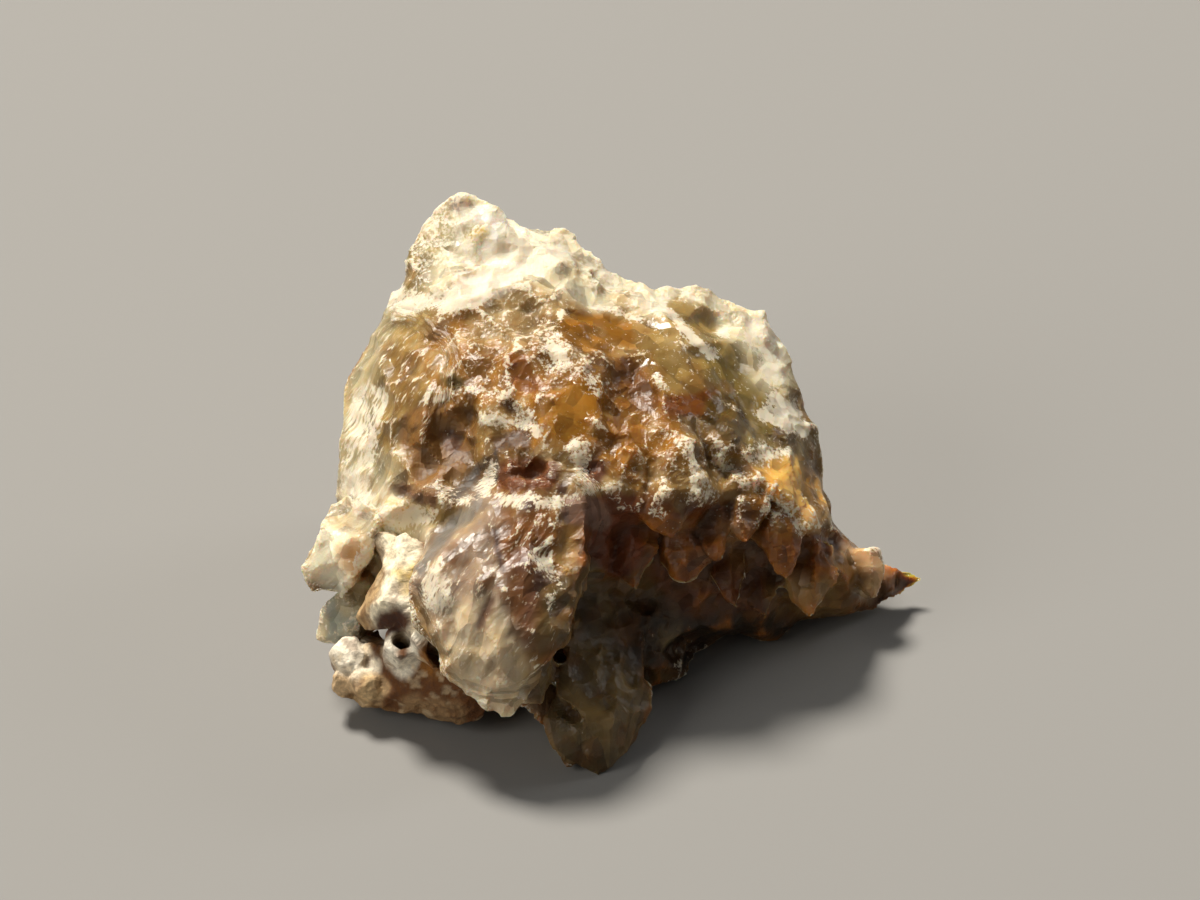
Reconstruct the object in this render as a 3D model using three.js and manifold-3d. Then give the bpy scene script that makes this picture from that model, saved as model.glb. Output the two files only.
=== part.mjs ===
// A rough herderite crystal, broken on every side, with a remnant of the matrix that it grew on.
//
// Lengths are in millimetres and +Z is up. The stone's landmarks are written on a plane that leans back:
// u runs to the right along it, v runs up it, and w stands out of it, towards the front of the stone.

import * as THREE from 'three';
import { ConvexGeometry } from 'three/addons/geometries/ConvexGeometry.js';
import { ConvexHull } from 'three/addons/math/ConvexHull.js';
import { mergeVertices } from 'three/addons/utils/BufferGeometryUtils.js';
import Module from 'manifold-3d';

const wasm = await Module();
wasm.setup();

// Driving dimensions.
const STONE_WIDTH = 31.5;
const LANDMARK_WIDTH = 31.5;
const SCALE = STONE_WIDTH / LANDMARK_WIDTH;
const LEAN = THREE.MathUtils.degToRad(35);
const PLANE_HEIGHT = 9.5;
const MATRIX_GAP = 0.3;

// How the broken surface is made: flat chips of two sizes, each with its own height and tilt.
const SURFACE_STEP = 1.7;
const SURFACE_PASSES = 6;
const LARGE_CHIP = { size: 3.4, height: 0.18, tilt: 0.1 };
const SMALL_CHIP = { size: 1.6, height: 0.1, tilt: 0.12 };
const CHIP_FADE = 1.6;

// Turns a landmark (u, v, w) on the leaning plane into a place over the surface that the stone stands on.
function place([u, v, w]) {
  const y = v * Math.sin(LEAN) - w * Math.cos(LEAN);
  const z = v * Math.cos(LEAN) + w * Math.sin(LEAN) + PLANE_HEIGHT;
  return new THREE.Vector3(u, y, z).multiplyScalar(SCALE);
}

function seededRandom(seed) {
  let state = seed;
  return () => {
    state = (state * 1664525 + 1013904223) % 4294967296;
    return state / 4294967296;
  };
}

function solidFrom(geometry) {
  const bare = geometry.clone();
  bare.deleteAttribute('normal');
  bare.deleteAttribute('uv');
  const joined = mergeVertices(bare, 1e-4);
  return new wasm.Manifold(new wasm.Mesh({
    numProp: 3,
    vertProperties: new Float32Array(joined.attributes.position.array),
    triVerts: new Uint32Array(joined.index.array),
  }));
}

function geometryFrom(solid) {
  const mesh = solid.getMesh();
  const geometry = new THREE.BufferGeometry();
  geometry.setAttribute('position', new THREE.BufferAttribute(new Float32Array(mesh.vertProperties), 3));
  geometry.setIndex(new THREE.BufferAttribute(new Uint32Array(mesh.triVerts), 1));
  return geometry;
}

function joinAll(solids) {
  return solids.reduce((whole, next) => whole.add(next));
}

function cutAll(solid, cutters) {
  return cutters.reduce((left, cutter) => left.subtract(cutter), solid);
}

// A flat-faced block: the smallest convex solid around its landmarks.
function block(landmarks) {
  return solidFrom(new ConvexGeometry(landmarks.map(place)));
}

// A rounded lump with uneven flat faces.
function lump(centre, radii, seed) {
  const random = seededRandom(seed);
  const middle = place(centre);
  const points = [];
  const count = 26;
  for (let i = 0; i < count; i += 1) {
    const height = 1 - 2 * (i + 0.5) / count;
    const ring = Math.sqrt(1 - height * height);
    const angle = i * 2.39996 + random() * 0.6;
    const size = (0.86 + 0.2 * random()) * SCALE;
    points.push(new THREE.Vector3(
      middle.x + radii[0] * ring * Math.cos(angle) * size,
      middle.y + radii[1] * ring * Math.sin(angle) * size,
      middle.z + radii[2] * height * size,
    ));
  }
  return solidFrom(new ConvexGeometry(points));
}

// A small pointed crystal with a few flat sides, between a foot and a tip on the leaning plane.
function crystal(foot, tip, width, sides) {
  const start = place(foot);
  const end = place(tip);
  const axis = end.clone().sub(start);
  const length = axis.length();
  axis.normalize();
  const side = new THREE.Vector3(0, 0, 1).cross(axis).normalize();
  const other = axis.clone().cross(side);
  const points = [end.clone().addScaledVector(side, width * 0.12)];
  const rings = [[-0.2, 0.5], [0.35, 0.55], [0.78, 0.26]];
  for (const [along, radius] of rings) {
    for (let corner = 0; corner < sides; corner += 1) {
      const angle = (corner + 0.3) * 2 * Math.PI / sides;
      points.push(start.clone()
        .addScaledVector(axis, along * length)
        .addScaledVector(side, Math.cos(angle) * radius * width * SCALE)
        .addScaledVector(other, Math.sin(angle) * radius * width * 0.8 * SCALE));
    }
  }
  return solidFrom(new ConvexGeometry(points));
}

// Triangles over points on the plane: the lower side of the hull of the points lifted onto a bowl.
function trianglesOver(points) {
  const lifted = points.map(([u, v]) => new THREE.Vector3(u, v, (u * u + v * v) * 0.05));
  const numberOf = new Map(lifted.map((point, index) => [point, index]));
  const hull = new ConvexHull().setFromPoints(lifted);
  const triangles = [];
  for (const face of hull.faces) {
    if (face.normal.z < -1e-9) {
      const corners = [face.edge, face.edge.next, face.edge.prev].map((edge) => numberOf.get(edge.head().point));
      triangles.push([corners[0], corners[2], corners[1]]);
    }
  }
  return triangles;
}

function isInside(outline, u, v) {
  let inside = false;
  for (let i = 0, j = outline.length - 1; i < outline.length; j = i, i += 1) {
    const [ui, vi] = outline[i];
    const [uj, vj] = outline[j];
    if ((vi > v) !== (vj > v) && u < (uj - ui) * (v - vi) / (vj - vi) + ui) {
      inside = !inside;
    }
  }
  return inside;
}

function trianglesInside(outline, points) {
  return trianglesOver(points).filter((corners) => {
    const u = corners.reduce((sum, corner) => sum + points[corner][0], 0) / 3;
    const v = corners.reduce((sum, corner) => sum + points[corner][1], 0) / 3;
    return isInside(outline, u, v);
  });
}

// Sides of the outline that the triangles don't hold. Each is halved until all are held.
function looseSides(outline, triangles) {
  const held = new Set();
  for (const corners of triangles) {
    for (let i = 0; i < 3; i += 1) {
      const a = corners[i];
      const b = corners[(i + 1) % 3];
      held.add(`${Math.min(a, b)}-${Math.max(a, b)}`);
    }
  }
  const loose = [];
  for (let i = 0; i < outline.length; i += 1) {
    const next = (i + 1) % outline.length;
    if (!held.has(`${Math.min(i, next)}-${Math.max(i, next)}`)) {
      loose.push(i);
    }
  }
  return loose;
}

// A solid between a front and a back surface that meet along one outline.
function relief(edge, front, back) {
  let outline = edge;
  let frontTriangles = [];
  let backTriangles = [];
  for (let pass = 0; pass < 8; pass += 1) {
    frontTriangles = trianglesInside(outline, [...outline, ...front]);
    backTriangles = trianglesInside(outline, [...outline, ...back]);
    const loose = new Set([...looseSides(outline, frontTriangles), ...looseSides(outline, backTriangles)]);
    if (loose.size === 0) {
      break;
    }
    outline = outline.flatMap((point, i) => {
      const next = outline[(i + 1) % outline.length];
      const middle = point.map((value, axis) => (value + next[axis]) / 2);
      return loose.has(i) ? [point, middle] : [point];
    });
  }
  const points = [...outline, ...front, ...back].map(place);
  const backStart = outline.length + front.length;
  const backNumber = (corner) => (corner < outline.length ? corner : corner - outline.length + backStart);
  const triangles = [
    ...frontTriangles.map(([a, b, c]) => [a, b, c]),
    ...backTriangles.map(([a, b, c]) => [backNumber(a), backNumber(c), backNumber(b)]),
  ];
  const geometry = new THREE.BufferGeometry().setFromPoints(points);
  geometry.setIndex(triangles.flat());
  return solidFrom(geometry);
}

// A chip pattern in space: each place belongs to the nearest of a jittered grid of chips.
function chipPattern({ size, height, tilt }, seed) {
  const hash = (x, y, z, turn) => {
    const value = Math.sin(x * 127.1 + y * 311.7 + z * 74.7 + turn * 53.3 + seed * 17.17) * 43758.5453;
    return value - Math.floor(value);
  };
  return (point) => {
    const cell = point.clone().divideScalar(size).floor();
    let nearest = Infinity;
    let depth = 0;
    for (let index = 0; index < 27; index += 1) {
      const x = cell.x + (index % 3) - 1;
      const y = cell.y + (Math.floor(index / 3) % 3) - 1;
      const z = cell.z + Math.floor(index / 9) - 1;
      const middle = new THREE.Vector3(x + hash(x, y, z, 1), y + hash(x, y, z, 2), z + hash(x, y, z, 3));
      const offset = point.clone().sub(middle.multiplyScalar(size));
      if (offset.lengthSq() < nearest) {
        nearest = offset.lengthSq();
        const slope = new THREE.Vector3(hash(x, y, z, 4), hash(x, y, z, 5), hash(x, y, z, 6)).subScalar(0.5);
        depth = height * (2 * hash(x, y, z, 7) - 1) + 2 * tilt * slope.dot(offset);
      }
    }
    return depth;
  };
}

// Splits every side that is longer than the step, pass by pass, so that neighbours stay joined.
function refined(geometry, step) {
  const places = Array.from(geometry.attributes.position.array);
  let triangles = [];
  for (let i = 0; i < geometry.index.count; i += 3) {
    triangles.push([0, 1, 2].map((corner) => geometry.index.getX(i + corner)));
  }
  const lengthOf = (a, b) => Math.hypot(...[0, 1, 2].map((axis) => places[3 * a + axis] - places[3 * b + axis]));
  for (let pass = 0; pass < SURFACE_PASSES; pass += 1) {
    const middles = new Map();
    const middleOf = (a, b) => {
      const key = `${Math.min(a, b)}-${Math.max(a, b)}`;
      if (!middles.has(key)) {
        middles.set(key, places.length / 3);
        places.push(...[0, 1, 2].map((axis) => (places[3 * a + axis] + places[3 * b + axis]) / 2));
      }
      return middles.get(key);
    };
    triangles = triangles.flatMap((corners) => splitTriangle(corners, lengthOf, middleOf, step));
    if (middles.size === 0) {
      break;
    }
  }
  const fine = new THREE.BufferGeometry();
  fine.setAttribute('position', new THREE.Float32BufferAttribute(places, 3));
  fine.setIndex(triangles.flat());
  return fine;
}

// Cuts one triangle at the middles of its long sides, into two, three or four.
function splitTriangle(corners, lengthOf, middleOf, step) {
  const long = [0, 1, 2].filter((i) => lengthOf(corners[i], corners[(i + 1) % 3]) > step);
  if (long.length === 0) {
    return [corners];
  }
  const turn = long.length === 2 ? ([0, 1, 2].find((i) => !long.includes(i)) + 1) % 3 : long[0];
  const [a, b, c] = [0, 1, 2].map((i) => corners[(i + turn) % 3]);
  const ab = middleOf(a, b);
  if (long.length === 1) {
    return [[a, ab, c], [ab, b, c]];
  }
  const bc = middleOf(b, c);
  if (long.length === 2) {
    return [[ab, b, bc], [a, ab, bc], [a, bc, c]];
  }
  const ca = middleOf(c, a);
  return [[a, ab, ca], [ab, b, bc], [ca, bc, c], [ab, bc, ca]];
}

// Breaks a smooth solid's faces into chips, less so near the thin tips.
function breakSurface(solid, amount, seed, thinTips) {
  const geometry = refined(geometryFrom(solid), SURFACE_STEP * SCALE);
  geometry.computeVertexNormals();
  const large = chipPattern(LARGE_CHIP, seed);
  const small = chipPattern(SMALL_CHIP, seed + 1);
  const places = geometry.attributes.position;
  const normals = geometry.attributes.normal;
  const tips = thinTips.map(place);
  for (let i = 0; i < places.count; i += 1) {
    const point = new THREE.Vector3().fromBufferAttribute(places, i);
    const normal = new THREE.Vector3().fromBufferAttribute(normals, i);
    const toTip = Math.min(...tips.map((tip) => tip.distanceTo(point)));
    const share = THREE.MathUtils.smoothstep(toTip, 0.4 * CHIP_FADE, 3 * CHIP_FADE);
    const depth = amount * share * (large(point) + small(point)) * SCALE;
    point.addScaledVector(normal, depth);
    places.setXYZ(i, point.x, point.y, point.z);
  }
  geometry.deleteAttribute('normal');
  return solidFrom(geometry);
}

// Everything below the surface that the stone stands on.
function ground() {
  const side = 80;
  const box = new THREE.BoxGeometry(side, side, side);
  box.translate(0, 0, -side / 2);
  return solidFrom(box);
}

// The main body's outline, clockwise from the peak.
const PEAK_CREST = [
  [-8.75, 14.0, -5.6], [-8.35, 14.4, -5.5], [-7.65, 14.4, -5.3], [-6.75, 14.0, -5.1], [-5.9, 13.85, -5.0],
  [-5.5, 13.5, -5.0], [-5.0, 13.35, -5.0], [-4.65, 13.0, -5.1], [-4.15, 12.55, -5.3],
];
const SECOND_CREST = [
  [-3.75, 12.7, -5.5], [-3.15, 12.75, -5.6], [-2.5, 12.65, -5.6], [-2.0, 12.35, -5.6], [-1.6, 12.0, -5.6],
  [-0.75, 11.6, -5.6], [-0.6, 11.0, -5.4], [-0.25, 10.6, -5.2], [0.15, 10.25, -5.2], [0.65, 10.1, -5.3],
  [1.4, 10.15, -5.4], [1.65, 9.8, -5.2], [2.0, 9.55, -5.1], [2.5, 9.55, -5.2],
];
const RIGHT_CREST = [
  [3.75, 9.75, -5.9], [4.15, 9.8, -6.0], [5.0, 9.35, -6.0], [5.35, 9.1, -6.0], [6.25, 8.85, -6.0],
  [7.5, 8.6, -6.0], [7.75, 8.4, -6.0], [8.15, 7.5, -5.8], [8.5, 7.35, -5.8], [8.75, 6.75, -5.6],
  [9.05, 6.0, -5.4], [9.35, 5.0, -5.0], [9.65, 4.0, -4.8], [10.0, 3.1, -4.6], [10.55, 2.35, -4.4],
  [10.5, 1.75, -4.3], [10.6, 1.25, -4.3], [10.55, 0.25, -4.3], [10.85, -0.5, -4.4], [11.15, -1.25, -4.6],
];
const TAIL = [
  [11.25, -2.0, -4.8], [11.65, -2.75, -5.0], [12.25, -3.25, -5.4], [13.0, -3.65, -5.8], [13.75, -4.15, -6.1],
  [14.5, -4.5, -6.4], [15.25, -4.65, -6.6], [15.75, -4.9, -6.8], [15.35, -5.4, -6.9], [14.5, -5.9, -6.8],
  [13.65, -6.25, -6.6], [13.25, -6.6, -6.4],
];
const UNDERSIDE_EDGE = [
  [12.0, -6.8, -6.0], [10.75, -7.0, -5.6], [9.25, -7.25, -5.1], [8.25, -8.0, -4.6], [6.25, -8.15, -4.1],
  [4.25, -8.5, -3.5], [3.65, -9.75, -2.0], [2.0, -10.5, -0.8], [-0.75, -11.0, 0.2], [-3.75, -11.0, 0.6],
  [-6.75, -10.4, 0.4], [-9.25, -8.8, -0.4], [-10.75, -6.8, -1.2],
];
const LEFT_FLANK = [
  [-12.25, -5.3, -1.6], [-13.0, -4.0, -1.6], [-13.6, -2.0, -1.6], [-13.95, -0.75, -1.5], [-13.85, 0.25, -1.8],
  [-13.75, 1.0, -2.1], [-13.75, 2.5, -2.6], [-13.7, 3.5, -3.1], [-13.6, 4.25, -3.4], [-13.15, 5.5, -3.8],
  [-12.9, 6.15, -4.0], [-12.25, 7.5, -4.4], [-11.5, 8.6, -4.8], [-11.25, 9.15, -4.9], [-11.05, 9.6, -5.0],
  [-10.75, 10.25, -5.2], [-10.65, 10.9, -5.4], [-10.35, 12.0, -5.6], [-9.75, 12.6, -5.6], [-9.65, 12.9, -5.6],
  [-9.15, 13.25, -5.6], [-9.05, 13.7, -5.6],
];
const OUTLINE = [
  ...PEAK_CREST, ...SECOND_CREST, ...RIGHT_CREST, ...TAIL, ...UNDERSIDE_EDGE, ...LEFT_FLANK,
];

// The front: the faces, ridges and hollows between the outline's edges.
const PEAK_FACE = [
  [-8.9, 12.6, -4.9], [-7.6, 13.2, -4.6], [-8.75, 11.4, -4.0], [-6.75, 12.2, -3.9], [-6.75, 11.0, -3.3],
  [-4.75, 11.5, -3.9], [-2.75, 11.7, -4.7], [-1.5, 10.8, -4.4], [-10.1, 10.4, -4.2],
];
const WHITE_BAND = [
  [-9.7, 7.3, -1.4], [-8.75, 7.85, -0.8], [-7.25, 8.85, -0.8], [-5.75, 9.8, -1.4], [-4.25, 10.7, -2.3],
  [-2.75, 10.9, -2.9], [-0.9, 9.9, -3.0], [1.1, 9.1, -3.1], [3.1, 8.0, -2.4], [4.6, 6.9, -1.5],
];
const BAND_FOOT = [
  [-9.0, 6.8, -0.4], [-7.2, 7.7, -0.3], [-5.5, 8.7, -0.9], [-4.1, 9.7, -1.8], [-2.5, 10.0, -2.5],
  [-0.8, 9.1, -2.7],
];
const LEFT_RIDGE = [
  [-9.8, 9.0, -2.6], [-10.6, 6.5, -1.1], [-11.0, 4.2, 0.3], [-11.3, 1.6, 1.3], [-11.4, -0.6, 1.9],
  [-11.5, -1.7, 2.4],
];
const LEFT_FLANK_FACE = [
  [-11.9, 6.0, -2.4], [-12.5, 4.0, -1.6], [-12.7, 1.5, -0.6], [-12.9, -1.0, 0.2], [-12.6, -2.6, 1.2],
];
const AMBER_FIELD = [
  [-6.75, 6.6, 1.1], [-4.75, 6.9, 1.4], [-2.75, 7.5, 0.6], [-0.75, 7.8, -0.8], [-3.75, 8.6, -0.9],
  [-8.6, 5.8, 0.5], [-9.2, 4.2, 1.4], [-7.25, 4.6, 2.2], [-5.25, 4.3, 2.9], [-3.5, 4.9, 3.2],
  [-2.0, 5.7, 2.6], [-0.75, 5.9, 1.9], [-0.75, 4.0, 3.5], [-3.0, 3.0, 4.3],
];
const ROUND_AMBER_LUMP = [
  [0.5, 6.4, 0.5], [1.75, 6.6, 0.6], [3.25, 6.6, -0.1], [2.25, 5.0, 1.8], [4.25, 4.8, 0.8], [5.0, 5.9, -1.2],
  [1.2, 8.1, -2.2],
];
const AMBER_WINDOW = [[0.9, 4.9, 0.9], [1.1, 3.7, 1.9]];
const RIGHT_UPPER_FACE = [
  [2.9, 8.8, -4.3], [5.3, 7.9, -4.2], [6.75, 7.1, -4.1], [6.25, 5.4, -2.5], [8.1, 5.5, -4.2], [6.0, 4.2, -1.2],
  [8.0, 4.0, -2.9], [9.2, 3.0, -3.1],
];
const BROWN_HOLLOW = [
  [-9.6, 2.2, 1.8], [-8.75, 2.4, 1.3], [-7.4, 2.1, 1.6], [-8.6, 0.6, 2.2], [-6.3, 2.2, 3.5], [-6.75, 0.3, 3.5],
  [-9.4, -0.6, 2.9],
];
const GREY_STEP = [[-5.6, 3.0, 3.3], [-4.7, 2.6, 3.5], [-3.7, 2.7, 4.2]];
const PITTED_FACE = [
  [-5.5, 1.1, 4.2], [-4.2, 0.5, 4.6], [-2.7, 1.5, 4.8], [-2.75, -0.5, 5.1], [-1.25, 0.7, 4.9], [-0.2, 1.8, 4.4],
  [-4.6, -0.6, 5.2], [-1.6, -0.5, 5.2],
];
const FIRST_BROW_RIDGE = [
  [0.2, 0.2, 4.7], [1.3, 2.6, 3.1], [1.6, 0.8, 4.0], [2.75, 2.5, 3.2], [3.5, 1.25, 4.0], [3.9, 0.2, 4.3],
  [4.15, -1.0, 4.4],
];
const BROW_VALLEY = [[4.0, 3.2, 1.6], [4.3, 2.0, 2.0], [4.8, 0.7, 2.1], [5.1, -0.7, 2.5], [5.7, 0.6, 1.6]];
const SECOND_BROW_RIDGE = [
  [5.2, 3.0, 1.1], [6.25, 1.6, 1.8], [7.3, 0.1, 2.0], [8.75, -1.0, 1.6], [9.75, -2.5, 0.9], [10.75, -4.0, -0.4],
  [11.75, -5.0, -2.1],
];
const RIGHT_LOWER_FACE = [
  [7.75, 2.1, -0.9], [9.25, 1.0, -1.7], [9.9, -0.9, -1.5], [11.0, -3.0, -2.9], [12.5, -4.6, -4.2],
  [13.75, -5.15, -5.2],
];
const SHADED_FACE = [
  [-0.75, -1.4, 5.1], [1.75, -1.2, 4.3], [0.25, -3.2, 3.0], [2.25, -3.2, 2.2], [4.25, -2.8, 1.8],
  [6.5, -1.6, 1.3], [8.1, -2.8, 0.5], [0.25, -6.0, 1.3], [2.75, -6.0, 0.4], [5.25, -5.6, -0.4],
  [7.75, -5.1, -0.9], [9.75, -5.8, -2.1], [11.75, -6.1, -3.9], [1.75, -8.5, 0.6], [4.25, -7.3, -1.0],
  [6.75, -7.1, -2.0], [-1.25, -8.0, 2.2], [-2.75, -10.0, 2.6],
];
const UNDER_LOBE = [
  [-2.25, -1.5, 5.2], [-4.25, -1.7, 5.4], [-6.75, -1.7, 4.7], [-8.75, -2.4, 3.7], [-10.5, -3.2, 2.2],
  [-6.75, -5.5, 4.0], [-3.0, -5.5, 4.2], [-9.6, -5.4, 2.4], [-6.5, -8.5, 2.8], [-3.4, -8.0, 3.2],
];
const FRONT = [
  ...PEAK_FACE, ...WHITE_BAND, ...BAND_FOOT, ...LEFT_RIDGE, ...LEFT_FLANK_FACE, ...AMBER_FIELD,
  ...ROUND_AMBER_LUMP, ...AMBER_WINDOW, ...RIGHT_UPPER_FACE, ...BROWN_HOLLOW, ...GREY_STEP, ...PITTED_FACE,
  ...FIRST_BROW_RIDGE, ...BROW_VALLEY, ...SECOND_BROW_RIDGE, ...RIGHT_LOWER_FACE, ...SHADED_FACE, ...UNDER_LOBE,
];

// The back: steep broken faces that fall from the crests to the foot that the stone rests on behind.
const BACK_UPPER = [
  [-8.6, 12.6, -8.2], [-5.6, 11.9, -8.6], [-2.4, 11.3, -8.8], [-9.9, 9.8, -9.8], [-6.6, 9.2, -12.0],
  [-3.0, 8.7, -12.0], [0.4, 8.4, -11.0], [3.6, 8.2, -10.0], [6.8, 7.6, -9.4],
];
const BACK_MIDDLE = [
  [-12.4, 5.4, -8.2], [-10.4, 5.4, -13.2], [-5.2, 5.4, -15.0], [-0.6, 5.0, -14.6], [3.6, 4.9, -13.0],
  [8.2, 4.4, -10.4], [-12.8, 1.8, -9.0], [-10.6, 1.8, -14.6], [-5.6, 1.6, -17.0], [-0.4, 1.4, -16.6],
  [4.8, 1.4, -15.0], [9.2, 1.0, -11.0],
];
const BACK_FOOT = [
  [-12.2, -1.6, -7.6], [-9.6, -1.4, -14.0], [-6.4, -1.8, -15.8], [-1.0, -2.0, -14.6], [4.6, -1.8, -15.4],
  [9.2, -1.8, -9.8],
];
const HOLLOW_UNDERSIDE = [
  [-10.2, -4.4, -6.6], [-6.6, -4.6, -8.4], [-1.8, -4.8, -8.6], [3.0, -4.8, -8.2], [7.6, -4.8, -8.0],
  [11.2, -4.8, -7.4], [13.4, -5.0, -7.2],
  [14.6, -5.2, -7.3], [15.3, -5.0, -7.1], [-8.0, -7.0, -3.0], [-4.4, -7.4, -4.0], [0.0, -7.4, -4.8],
  [4.2, -7.0, -5.6], [7.8, -6.8, -6.2], [-4.8, -9.6, -1.0], [-0.6, -9.6, -1.4],
];
const BACK = [...BACK_UPPER, ...BACK_MIDDLE, ...BACK_FOOT, ...HOLLOW_UNDERSIDE];

// The striated lobe stands out in front and ends below in a blunt prong.
const LOBE = [
  [-9.5, -2.6, 3.3], [-7.25, -1.0, 4.3], [-4.25, -0.3, 5.0], [-1.5, -0.6, 5.0], [-1.3, -3.0, 6.0],
  [-1.8, -4.75, 6.9], [-2.15, -7.5, 7.5], [-2.7, -8.2, 7.4], [-6.75, -5.0, 7.8], [-4.25, -4.0, 7.5],
  [-5.75, -8.5, 8.3], [-3.75, -7.0, 8.0], [-10.0, -7.25, 5.6], [-10.15, -5.0, 5.4], [-9.25, -8.25, 6.2],
  [-8.75, -2.6, 1.0], [-1.25, -2.0, 1.0], [-2.9, -8.0, 1.8], [-8.6, -8.2, 2.2], [-9.2, -5.0, 1.6],
  [-5.6, -11.0, 7.6],
];
const PRONG = [
  [-9.25, -8.0, 6.1], [-8.5, -9.35, 6.4], [-7.5, -10.2, 6.8], [-6.5, -10.9, 7.0], [-6.25, -11.2, 7.2],
  [-5.6, -11.9, 7.3], [-5.1, -11.75, 7.2], [-4.3, -11.0, 7.0], [-3.1, -8.3, 6.8], [-2.6, -7.4, 6.5],
  [-5.4, -9.6, 8.1], [-7.0, -8.4, 7.8], [-8.4, -8.2, 2.6], [-3.4, -8.2, 2.4], [-6.2, -10.2, 3.4],
  [-4.8, -10.4, 3.4],
];
const PRONG_SHOULDER = [
  [-4.9, -11.2, 6.6], [-3.75, -11.0, 5.6], [-3.1, -9.8, 5.6], [-2.8, -8.2, 6.2], [-4.6, -8.6, 6.9],
  [-4.6, -10.6, 3.0], [-3.2, -9.0, 2.6],
];

// The foot in front, which the stone stands on, has two blunt toes.
const FOOT = [
  [-1.6, -14.1, 4.4], [-0.85, -14.5, 4.3], [-0.2, -14.2, 4.3], [0.65, -13.1, 3.9], [1.15, -12.5, 3.6],
  [1.7, -11.3, 2.8], [1.65, -10.4, 2.2], [1.2, -8.6, 1.6], [-2.6, -8.6, 4.2], [-2.9, -10.5, 4.9],
  [-1.5, -12.0, 5.6], [-0.2, -11.8, 5.3], [0.3, -10.0, 4.3], [-0.2, -13.6, 0.6], [1.0, -11.2, -1.4],
  [-2.2, -11.6, -1.0], [-1.2, -13.8, 1.4], [-2.2, -5.8, 1.6], [1.0, -6.2, 0.4],
];
const LEFT_TOE = [
  [-2.95, -13.2, 5.0], [-2.85, -13.75, 4.7], [-2.35, -13.9, 4.5], [-1.9, -13.7, 4.6], [-1.7, -12.2, 5.5],
  [-2.75, -12.2, 5.3], [-3.4, -11.6, 4.6], [-2.8, -10.4, 4.6], [-1.8, -10.4, 3.0], [-2.4, -13.0, 1.6],
];
const FOOT_BACKING = [
  [-5.0, -10.6, 3.6], [-3.75, -12.0, 4.2], [-2.6, -12.4, 4.0], [-2.4, -9.0, 4.0], [-4.4, -9.6, 1.6],
  [-2.4, -11.4, 0.6], [-3.0, -8.6, 1.0],
];

// Blocks at the lower left: the pale block beside the fissure, and the grey one under it.
const LEFT_BLOCK = [
  [-15.6, -3.9, 0.6], [-15.75, -4.55, 0.6], [-15.2, -5.6, 0.8], [-14.4, -5.7, 1.1], [-13.2, -5.2, 1.8],
  [-12.9, -4.0, 2.1], [-12.3, -3.3, 2.3], [-11.6, -2.6, 2.5], [-15.0, -3.0, 0.4], [-14.5, -2.2, 0.2],
  [-14.1, -1.5, 0.0], [-13.5, -0.5, 0.5], [-12.2, -1.2, 2.0], [-14.6, -4.0, -2.4], [-13.6, -2.0, -4.0],
  [-12.6, -4.6, -2.0], [-11.9, -3.0, -2.6],
];
const LEFT_SPIKE = [
  [-14.2, -5.2, 1.3], [-13.65, -6.1, 1.3], [-13.3, -5.6, 1.5], [-13.0, -4.9, 1.8], [-13.8, -4.6, -0.6],
];
const GREY_BLOCK = [
  [-14.3, -8.2, -0.8], [-15.0, -8.0, -1.1], [-14.75, -7.0, -1.0], [-14.5, -6.2, -0.8], [-13.7, -5.6, -0.4],
  [-13.1, -7.0, 0.0], [-13.1, -8.4, -0.4], [-12.6, -4.6, -1.0], [-11.6, -5.6, -1.0], [-13.4, -6.6, -3.4],
  [-11.4, -7.4, -2.6], [-12.0, -4.4, -3.4],
];

// Crystals that hang under the brow: foot, tip, width and number of sides.
const HANGING_CRYSTALS = [
  [[2.5, -0.4, 3.2], [2.5, -2.9, 4.4], 2.9, 5], [[6.4, -0.6, 1.0], [6.2, -3.1, 2.5], 2.5, 5],
  [[3.5, -2.4, 1.4], [3.3, -5.3, 2.9], 2.5, 6], [[5.8, -3.8, 0.2], [5.9, -6.6, 1.3], 2.0, 5],
  [[9.7, -3.8, -1.6], [9.4, -6.8, -0.1], 2.9, 6], [[7.9, -1.6, 0.2], [8.3, -4.9, 1.3], 2.8, 5],
  [[12.6, -4.0, -4.2], [12.9, -6.1, -3.7], 1.7, 6], [[1.0, -2.8, 2.4], [0.8, -5.5, 3.3], 2.3, 5],
  [[4.8, -1.4, 1.9], [4.9, -3.9, 2.7], 1.9, 6], [[7.4, -4.6, -1.4], [7.4, -7.1, -0.7], 1.8, 5],
];

// Pits and hollows in the lit faces: middle, half sizes and the seed of the uneven wall.
const PITS = [
  [[-4.3, 0.5, 5.0], [1.25, 0.8, 0.9], 31], [[-1.3, 0.75, 5.3], [0.85, 0.8, 0.8], 32],
  [[-2.9, -0.5, 5.6], [0.6, 0.5, 0.45], 33], [[-8.9, -0.6, 3.5], [0.9, 0.5, 0.4], 34],
  [[-6.6, -0.2, 4.6], [0.5, 0.7, 0.6], 35], [[-8.6, 2.3, 3.2], [1.7, 1.6, 1.5], 36],
  [[-4.6, 5.0, 4.0], [0.8, 0.9, 0.7], 37], [[1.0, 4.8, 2.6], [0.5, 0.9, 1.0], 38],
  [[3.8, 3.4, 2.4], [0.9, 0.6, 0.6], 39], [[-4.6, 2.8, 4.5], [0.9, 0.6, 0.6], 40],
  [[4.4, -3.4, 2.6], [0.8, 0.6, 0.9], 41], [[7.0, -3.6, 1.4], [0.7, 0.6, 0.8], 42],
];

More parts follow.
